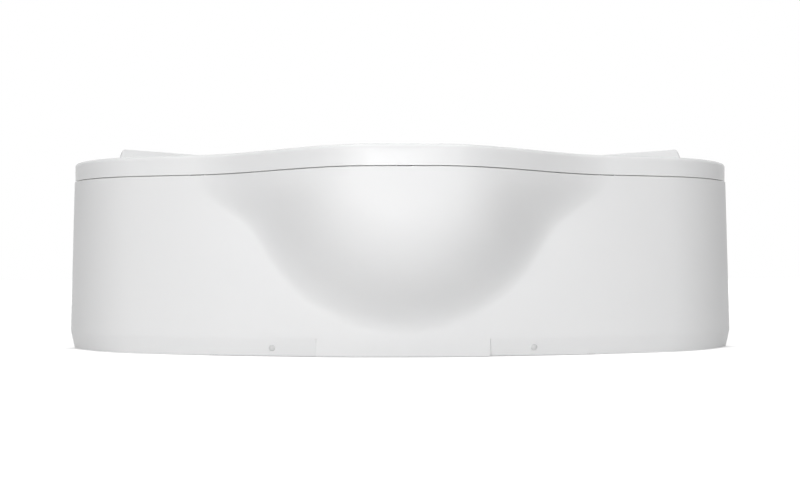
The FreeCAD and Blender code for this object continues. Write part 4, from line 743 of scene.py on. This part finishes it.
@dataclass(frozen=True)
class Panel:
    """The bowed front panel: flange, rounded top edge, bulging face and a toe that leans in at both sides."""

    plan: BathPlan
    gap: float = 0.0025
    wall: float = 0.004
    flange: float = 0.024
    upstand: float = 0.008
    proud: float = 0.0025
    flare: float = 0.011
    floor_gap: float = 0.0025
    toe: float = 0.0525
    recess: float = 0.0115
    toe_gap: float = 0.255
    groove_width: float = 0.0018
    groove_depth: float = 0.005
    top_radius: float = 0.0022
    inner_columns: int = 50
    outer_columns: int = 150
    face_rows: int = 52
    toe_rows: int = 10
    round_rows: int = 6

    def stations(self) -> tuple[Array, Array, Array]:
        """Lengths along the front of the columns, with a narrow groove at each step of the toe.

        Returns:
            Signed lengths from the middle, 1 where the toe leans or 0 where it runs straight down, and 1 in
            the grooves or 0 elsewhere.
        """
        chain = self.plan.front_chain()
        end = float(chain.knots()[0][2])
        step = self.plan.front_radius * math.asin(self.toe_gap / self.plan.front_radius)
        bank = step - self.groove_width
        half = np.concatenate([np.linspace(0.0, bank, self.inner_columns), [bank, step],
                               np.linspace(step, end, self.outer_columns)])
        number = np.arange(len(half)) - self.inner_columns
        lean, groove = (number >= 2).astype(float), ((number >= 0) & (number < 2)).astype(float)
        return tuple(np.concatenate([sign * row[:0:-1], row])
                     for sign, row in ((-1.0, half), (1.0, lean), (1.0, groove)))

    def section(self) -> tuple[Array, Array]:
        """The panel's section as a closed walk: from the flange's upstand down the face, and back up inside.

        The way down and the way up have as many points each, so that they pair up at the panel's ends.

        Returns:
            Levels, and pushes in front of the outline of a toe that runs straight down.
        """
        top, radius = self.plan.seam() - self.gap, self.top_radius
        crease = self.floor_gap + self.toe
        turn = np.linspace(0.0, math.pi / 2.0, self.round_rows)
        down = np.concatenate([np.linspace(top - radius, crease, self.face_rows)[1:],
                               np.linspace(crease, self.floor_gap, self.toe_rows)[1:]])
        face = np.concatenate([np.stack([top - radius * (1.0 - np.cos(turn)), radius * (np.sin(turn) - 1.0)], axis=-1),
                               np.stack([down, np.zeros(len(down))], axis=-1)])
        inside = np.stack([np.minimum(face[:, 0], top - self.wall), np.full(len(face), -self.wall)], axis=-1)
        walk = np.stack([face, inside])
        walk[..., 1] += self.proud + self.flare * (top - np.maximum(walk[..., 0], crease)) / (top - crease)
        lip = top + self.upstand
        outer = [(lip, self.wall - self.flange), (top, self.wall - self.flange), (top, -self.flange / 2.0)]
        inner = [(lip, -self.flange), (top - self.wall, -self.flange), (top - self.wall, -self.flange / 2.0)]
        closed = np.concatenate([outer, walk[0], walk[1, ::-1], inner[::-1]])
        return closed[:, 0], closed[:, 1]

    def build(self) -> None:
        """Makes the panel as one closed skin with flat ends; below its crease the toe leans back or is grooved."""
        lengths, leaning, grooved = self.stations()
        levels, push = self.section()
        drop = np.maximum(self.plan.seam() - levels, self.gap)
        place, normal = self.plan.front(np.abs(lengths)[None], drop[:, None])
        side = np.stack([np.where(lengths < 0.0, -1.0, 1.0), np.ones(len(lengths))], axis=-1)
        below = np.maximum(self.floor_gap + self.toe - levels, 0.0)[:, None]
        back = below * self.recess / self.toe * leaning + np.sign(below) * self.groove_depth * grooved
        plan_points = (place + normal * (push[:, None] - back)[..., None]) * side[None]
        height = np.broadcast_to(levels[:, None, None], plan_points.shape[:2] + (1,))
        grid = np.concatenate([plan_points, height], axis=-1)
        rows, columns = grid.shape[:2]
        faces = np.concatenate([quads(rows, columns, True, False), self.ends(rows, columns)])
        piece = surface("panel_skin", grid.reshape(-1, 3), faces, crease=25.0)
        dress(piece, Slot.PANEL, "tub", "front_panel")

    @staticmethod
    def ends(rows: int, columns: int) -> Array:
        """Quads that close both ends of the section, from its outer walk to its inner walk row by row."""
        pairs = np.arange(rows // 2 - 1)
        strip = np.stack([pairs, pairs + 1, rows - 2 - pairs, rows - 1 - pairs], axis=-1)
        return np.concatenate([strip * columns, strip * columns + columns - 1])


def cross_axes(axis: Array) -> tuple[Array, Array]:
    """Two unit vectors square to an axis and to each other, the first as level as possible."""
    across = np.cross(UP, axis) if abs(axis[2]) < 0.99 else np.array([1.0, 0.0, 0.0])
    across = across / np.linalg.norm(across)
    return across, np.cross(axis, across)


def turned(name: str, profile: list[tuple[float, float]], origin: Array, axis: Array,
           count: int = 72, crease: float = 35.0) -> Piece:
    """A closed piece turned about an axis: origin + height along the axis + radius round it.

    Args:
        name: The piece's name.
        profile: (radius, height) pairs.
        origin: A point on the axis.
        axis: The axis as a unit vector.
        count: Columns round the axis.
        crease: Angle in degrees past which an edge stays sharp.

    Returns:
        The piece, linked to the scene.
    """
    across, up = cross_axes(axis)
    angle = np.linspace(0.0, 2.0 * math.pi, count, endpoint=False)
    spokes = np.cos(angle)[:, None] * across + np.sin(angle)[:, None] * up
    radius, height = np.asarray(profile).T[..., None, None]
    grid = origin + radius * spokes + height * axis
    return surface(name, grid.reshape(-1, 3), quads(len(grid), count, False, True), crease)


def round_off(radius: float, height: float, fillet: float, steps: int = 8) -> list[tuple[float, float]]:
    """Profile points of a quarter round at the top edge of a disc, from its side to its top."""
    turn = np.linspace(0.0, math.pi / 2.0, steps)
    pairs = np.stack([radius - fillet + fillet * np.cos(turn), height - fillet + fillet * np.sin(turn)], axis=-1)
    return [tuple(pair) for pair in pairs]


@dataclass(frozen=True)
class CoverCaps:
    """Domed caps over the two screws in the panel's toe."""

    panel: Panel
    offset: float = 0.385
    height: float = 0.026
    radius: float = 0.0095
    sphere: float = 0.0102
    skirt: float = 0.0008
    seat: float = 0.0003

    def build(self) -> None:
        """Turns one cap on each screw's axis, square to the leaning toe."""
        plan = self.panel.plan
        crease = self.panel.floor_gap + self.panel.toe
        tilt = math.atan(self.panel.recess / self.panel.toe)
        length = np.array(plan.front_radius * math.asin(self.offset / plan.front_radius))
        place, normal = plan.front(length, np.array(plan.seam() - self.height))
        push = self.panel.proud + self.panel.flare - (crease - self.height) * math.tan(tilt)
        place = place + normal * push
        sink = math.sqrt(self.sphere ** 2 - self.radius ** 2)
        angle = np.linspace(math.asin(self.radius / self.sphere), 0.0, 10)
        dome = [(self.sphere * math.sin(a), self.skirt + self.sphere * math.cos(a) - sink) for a in angle]
        profile = [(0.0, self.seat), (self.radius, self.seat)] + dome
        for side, name in ((-1.0, "left"), (1.0, "right")):
            origin = np.array([side * place[0], place[1], self.height])
            axis = np.array([side * normal[0] * math.cos(tilt), normal[1] * math.cos(tilt), -math.sin(tilt)])
            piece = turned(f"{name}_cover_cap", profile, origin, axis, 48)
            dress(piece, Slot.CAP, "tub", "screw_cover_caps")


@dataclass(frozen=True)
class LegScrews:
    """Threaded studs of the five feet, each with its hexagon for a spanner."""

    radius: float = 0.006
    pitch: float = 0.00175
    thread_depth: float = 0.0009
    key_radius: float = 0.009
    key_low: float = 0.009
    key_high: float = 0.017
    key_bevel: float = 0.0006
    steps_per_turn: int = 8
    count: int = 32

    def build(self) -> None:
        """Lays a thread round every stud: its radius dips by a triangle wave of height less turn.

        The shank is plain up to the hexagon's top, and both ends close on the axis.
        """
        angle = np.linspace(0.0, 2.0 * math.pi, self.count, endpoint=False)
        for corner in ("left_end", "right_end", "left_front", "right_front", "corner"):
            node = corner + "_leg_stud"
            low, high = (np.asarray(end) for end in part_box(node))
            middle = (low + high) / 2.0
            rows = int((high[2] - low[2]) / self.pitch * self.steps_per_turn)
            height = np.linspace(low[2], high[2], rows)[:, None]
            phase = height / self.pitch - angle / (2.0 * math.pi)
            dip = np.abs(2.0 * (phase - np.floor(phase)) - 1.0)
            dip = np.where(height - low[2] < self.key_high, 1.0, dip)
            radius = self.radius - self.thread_depth * dip
            radius[[0, -1]] = 0.0
            grid = np.stack([middle[0] + radius * np.cos(angle), middle[1] + radius * np.sin(angle),
                             np.broadcast_to(height, radius.shape)], axis=-1)
            piece = surface(corner + "_thread", grid.reshape(-1, 3), quads(rows, self.count, False, True), crease=60.0)
            dress(piece, Slot.ZINC, corner + "_screw", node)
            self.key(corner, np.array([middle[0], middle[1], low[2]]))

    def key(self, corner: str, foot: Array) -> None:
        """Makes the hexagon above a stud's foot: six sides with both rims bevelled."""
        inner = self.key_radius - self.key_bevel
        profile = [(0.0, self.key_low), (inner, self.key_low), (self.key_radius, self.key_low + self.key_bevel),
                   (self.key_radius, self.key_high - self.key_bevel), (inner, self.key_high), (0.0, self.key_high)]
        piece = turned(corner + "_key", profile, foot, UP, 6, crease=20.0)
        dress(piece, Slot.ZINC, corner + "_screw")


@dataclass(frozen=True)
class Waste:
    """What shows of the waste inside the basin: the plug's crown and the overflow's knob."""

    plan: BathPlan
    flange_top: float = 0.1525
    gap: float = 0.0003
    plug_radius: float = 0.026
    plug_cap: float = 0.0032
    plug_side: float = 0.0012
    plug_crown: float = 0.0012
    crown_share: float = 0.93
    neck_radius: float = 0.02
    neck_foot: float = -0.0022
    stem_radius: float = 0.0195
    stem_foot: float = -0.0062
    pin_radius: float = 0.004
    pin_foot: float = -0.0542
    knob_radius: float = 0.035
    knob_low: float = 0.009
    knob_wall: float = 0.009
    knob_fillet: float = 0.003
    grip_width: float = 0.011
    grip_height: float = 0.007
    grip_round: float = 0.25
    grip_columns: int = 64
    shaft_radius: float = 0.005
    shaft_tail: float = -0.051

    def build(self) -> None:
        """Makes the plug and the knob."""
        self.plug()
        self.knob()

    def plug(self) -> None:
        """Turns the plug with a shallow crown, its stem and its pin."""
        crown = [(self.plug_radius * self.crown_share * share, self.plug_cap - self.plug_crown * share ** 2)
                 for share in np.linspace(1.0, 0.0, 8)]
        profile = [(0.0, self.pin_foot), (self.pin_radius, self.pin_foot), (self.pin_radius, self.stem_foot),
                   (self.stem_radius, self.stem_foot), (self.stem_radius, self.neck_foot),
                   (self.neck_radius, self.neck_foot), (self.neck_radius, 0.0), (self.plug_radius, 0.0),
                   (self.plug_radius, self.plug_side)] + crown
        seat = np.append(self.plan.drain(), self.flange_top + self.gap)
        piece = turned("plug_crown", profile, seat, UP)
        dress(piece, Slot.CHROME, "plug", "drain_plug")

    def knob(self) -> None:
        """Turns the knob's plate and shaft, and lays the grip's bar across it.

        The grip's outline is a circle pulled apart at its middle; its rows rise and narrow along a quarter
        round, and the last one closes on the bar's middle line.
        """
        joint = next(one for one in frame["joints"] if one["name"] == "knob_turn")
        origin, axis = np.asarray(joint["pos_m"]), np.asarray(joint["axis"])
        top = self.knob_low + self.knob_wall
        low_edge = [(radius, 2.0 * self.knob_low + self.knob_wall - height) for radius, height in
                    reversed(round_off(self.knob_radius, top, self.knob_fillet))]
        profile = [(0.0, self.shaft_tail), (self.shaft_radius, self.shaft_tail), (self.shaft_radius, self.knob_low)]
        profile += low_edge + round_off(self.knob_radius, top, self.knob_fillet) + [(0.0, top)]
        plate = turned("knob_plate", profile, origin, axis)
        dress(plate, Slot.CHROME, "knob", "overflow_knob")
        across, up = cross_axes(axis)
        angle = np.linspace(0.0, 2.0 * math.pi, self.grip_columns, endpoint=False)
        turn = np.linspace(0.0, math.pi / 2.0, 8)
        width = np.concatenate([[1.0], 1.0 - self.grip_round * (1.0 - np.cos(turn)), [0.0]])[:, None]
        rise = np.concatenate([[0.0], 1.0 - self.grip_round * (1.0 - np.sin(turn)), [1.0]])[:, None]
        aside = width * self.grip_width / 2.0 * np.cos(angle)
        along = width * self.grip_width / 2.0 * np.sin(angle)
        along = along + (self.knob_radius - self.grip_width) * np.sign(np.round(np.sin(angle), 6))
        height = np.broadcast_to(top + self.grip_height * rise, aside.shape)
        grid = origin + aside[..., None] * across + along[..., None] * up + height[..., None] * axis
        faces = quads(len(grid), self.grip_columns, False, True)
        grip = surface("knob_grip", grid.reshape(-1, 3), faces, crease=50.0)
        dress(grip, Slot.CHROME, "knob")


@dataclass(frozen=True)
class Nodes:
    """The CAD nodes that show as they are."""

    def build(self) -> None:
        """Gives every node the finish of its slot in the record."""
        slots = {entry["node"]: Slot(entry["material_slot"]) for entry in frame["record"]["subparts"]}
        for name, node in frame["nodes"].items():
            node.data.materials.clear()
            node.data.materials.append(FINISHES[slots[name]].material())
        LOG.info("finishes on %d nodes", len(slots))


@dataclass(frozen=True)
class Lamp:
    """A square lamp: where it hangs, the point that it faces, the length of its sides and its power in watts."""

    name: str
    place: Triple
    target: Triple
    size: float
    power: float

    def build(self) -> None:
        """Hangs the lamp and turns it to its target."""
        data = bpy.data.lights.new(self.name, "AREA")
        data.shape = "SQUARE"
        data.size = self.size
        data.energy = self.power
        made = bpy.data.objects.new(self.name, data)
        made.location = self.place
        away = np.subtract(self.place, self.target)
        level = math.hypot(away[0], away[1])
        made.rotation_euler = (math.atan2(level, away[2]), 0.0, math.atan2(away[0], -away[1]))
        bpy.context.scene.collection.objects.link(made)


FRONT = (0.0, -0.5, 0.3)
LAMPS = (Lamp("left", (-1.8, -5.0, 1.7), FRONT, 3.0, 70.0), Lamp("right", (2.1, -4.8, 1.7), FRONT, 3.0, 31.0),
         Lamp("low", (-0.2, -4.6, 0.6), FRONT, 1.1, 27.0), Lamp("top", (0.0, -0.6, 3.6), (0.0, -0.2, 0.4), 3.2, 52.0))


@dataclass(frozen=True)
class Studio:
    """White floor and surroundings, soft lamps and the photograph's camera."""

    plan: BathPlan
    camera_distance: float = 2.7995
    camera_side: float = -0.0477
    camera_level: float = 0.2901
    yaw: float = 0.0136
    pitch: float = 0.0083
    roll: float = 0.0012
    focal_pixels: float = 955.9
    image_width: float = 800.0
    sensor: float = 36.0
    floor_half: float = 9.0
    floor_tone: Triple = (0.74, 0.74, 0.74)
    floor_roughness: float = 0.9
    corner: float = 0.804
    squeeze: float = 0.8
    glow_reach: float = 4.0
    # Glow by distance: none under the bath, then a quick rise just past the toe's ring that paints a thin contact
    # shadow along the toe's foot, then up to full white far off.
    glows_and_toe_shadow: tuple[tuple[float, float], ...] = ((0.0, 0.0), (0.3325, 0.0), (0.35, 0.7), (1.0, 1.0))
    wall_glow: float = 0.7
    wall_lead: float = 0.03
    wall_run: float = 0.04
    ambient: float = 0.24
    end_ambient: float = 0.06
    ambient_span: tuple[float, float] = (0.35, 0.95)

    def build(self) -> None:
        """Sets up the camera, the floor, the world and the lamps."""
        bpy.context.scene.view_settings.view_transform = "Standard"
        self.camera()
        self.floor()
        self.world()
        for lamp in LAMPS:
            lamp.build()

    def camera(self) -> None:
        """Places the camera that a fit of the rim, seam and toe to the photograph gave."""
        data = bpy.data.cameras.new("camera")
        data.sensor_width = self.sensor
        data.sensor_fit = "HORIZONTAL"
        data.lens = self.focal_pixels / self.image_width * self.sensor
        eye = bpy.data.objects.new("camera", data)
        eye.location = (self.camera_side, self.plan.base() - self.camera_distance, self.camera_level)
        eye.rotation_euler = (math.pi / 2.0 + self.pitch, self.roll, -self.yaw)
        bpy.context.scene.collection.objects.link(eye)
        bpy.context.scene.camera = eye

    def floor(self) -> None:
        """Lays a white floor: lit only under the bath, and glowing more and more with the distance from it.

        The distance is measured from the room's corner with X squeezed, which puts the bath's toe on one ring.
        The glow's quick rise from nothing just past that ring paints a thin contact shadow along the toe's foot.
        Past the two walls, where X and Y add up to the corner's distance, the floor glows too.
        """
        square = np.array([(-1.0, -1.0, 0.0), (1.0, -1.0, 0.0), (1.0, 1.0, 0.0), (-1.0, 1.0, 0.0)])
        floor = surface("floor", square * self.floor_half, np.array([[0, 1, 2, 3]]))
        made = bpy.data.materials.new("White floor with painted toe shadow")
        made.use_nodes = True
        bench = Bench(made.node_tree)
        place = bench.place("ShaderNodeTexCoord").outputs["Object"]
        spot = bench.place("ShaderNodeMapping", {"Vector": place, "Location": (0.0, self.corner, 0.0), "Scale": (
            self.glow_reach / self.squeeze, self.glow_reach, 1.0)}, vector_type="TEXTURE")
        away = bench.place("ShaderNodeVectorMath", {0: spot.outputs["Vector"]}, operation="LENGTH")
        # Painted shadow: this ramp leaves a thin dark line along the toe where its glow rises from nothing.
        glow_and_toe_shadow_ramp = bench.place("ShaderNodeValToRGB", {"Fac": away.outputs["Value"]})
        stops = glow_and_toe_shadow_ramp.color_ramp.elements
        for share, _ in self.glows_and_toe_shadow[1:-1]:
            stops.new(share)
        for stop, (share, glow) in zip(stops, self.glows_and_toe_shadow):
            stop.position, stop.color = share, (glow, glow, glow, 1.0)
        axes = bench.place("ShaderNodeSeparateXYZ", {0: place}).outputs
        past = bench.math("ADD", bench.math("ABSOLUTE", axes["X"]), axes["Y"])
        behind = bench.place("ShaderNodeMapRange", {"Value": past, "From Min": self.corner - self.wall_lead,
                                                    "From Max": self.corner + self.wall_run, "To Max": self.wall_glow})
        shine = bench.math("MAXIMUM", behind.outputs["Result"], glow_and_toe_shadow_ramp.outputs["Color"])
        path = bench.place("ShaderNodeLightPath").outputs
        seen = bench.math("MAXIMUM", path["Is Camera Ray"], path["Is Glossy Ray"])
        bench.feed(made.node_tree.nodes["Principled BSDF"], {
            "Base Color": (*self.floor_tone, 1.0), "Roughness": self.floor_roughness, "Emission Color": WHITE,
            "Emission Strength": bench.math("MULTIPLY", seen, shine)})
        floor.data.materials.append(made)

    def world(self) -> None:
        """Gives the camera, gloss and glass a white surrounding, and the bath a dim light, dimmer from its ends."""
        world = bpy.data.worlds.new("Studio")
        world.use_nodes = True
        bench = Bench(world.node_tree)
        way = bench.place("ShaderNodeTexCoord").outputs["Generated"]
        aside = bench.math("ABSOLUTE", bench.place("ShaderNodeSeparateXYZ", {0: way}).outputs["X"])
        dim = bench.place("ShaderNodeMapRange", {
            "Value": aside, "From Min": self.ambient_span[0], "From Max": self.ambient_span[1],
            "To Min": self.ambient, "To Max": self.end_ambient}, interpolation_type="SMOOTHSTEP")
        path = bench.place("ShaderNodeLightPath").outputs
        gloss = bench.math("MAXIMUM", path["Is Camera Ray"], path["Is Glossy Ray"])
        seen = bench.math("MAXIMUM", gloss, path["Is Transmission Ray"])
        level = bench.place("ShaderNodeMapRange", {"Value": seen, "To Min": dim.outputs["Result"], "To Max": 1.0})
        bench.feed(world.node_tree.nodes["Background"], {"Color": WHITE, "Strength": level.outputs["Result"]})
        bpy.context.scene.world = world


def main() -> None:
    """Builds the bath's looks in order."""
    logging.basicConfig(level=logging.INFO, format="%(name)s %(message)s")
    plan = BathPlan()
    panel = Panel(plan)
    Nodes().build()
    Tub(plan).build()
    panel.build()
    CoverCaps(panel).build()
    LegScrews().build()
    Waste(plan).build()
    Studio(plan).build()


if __name__ == "__main__":
    main()
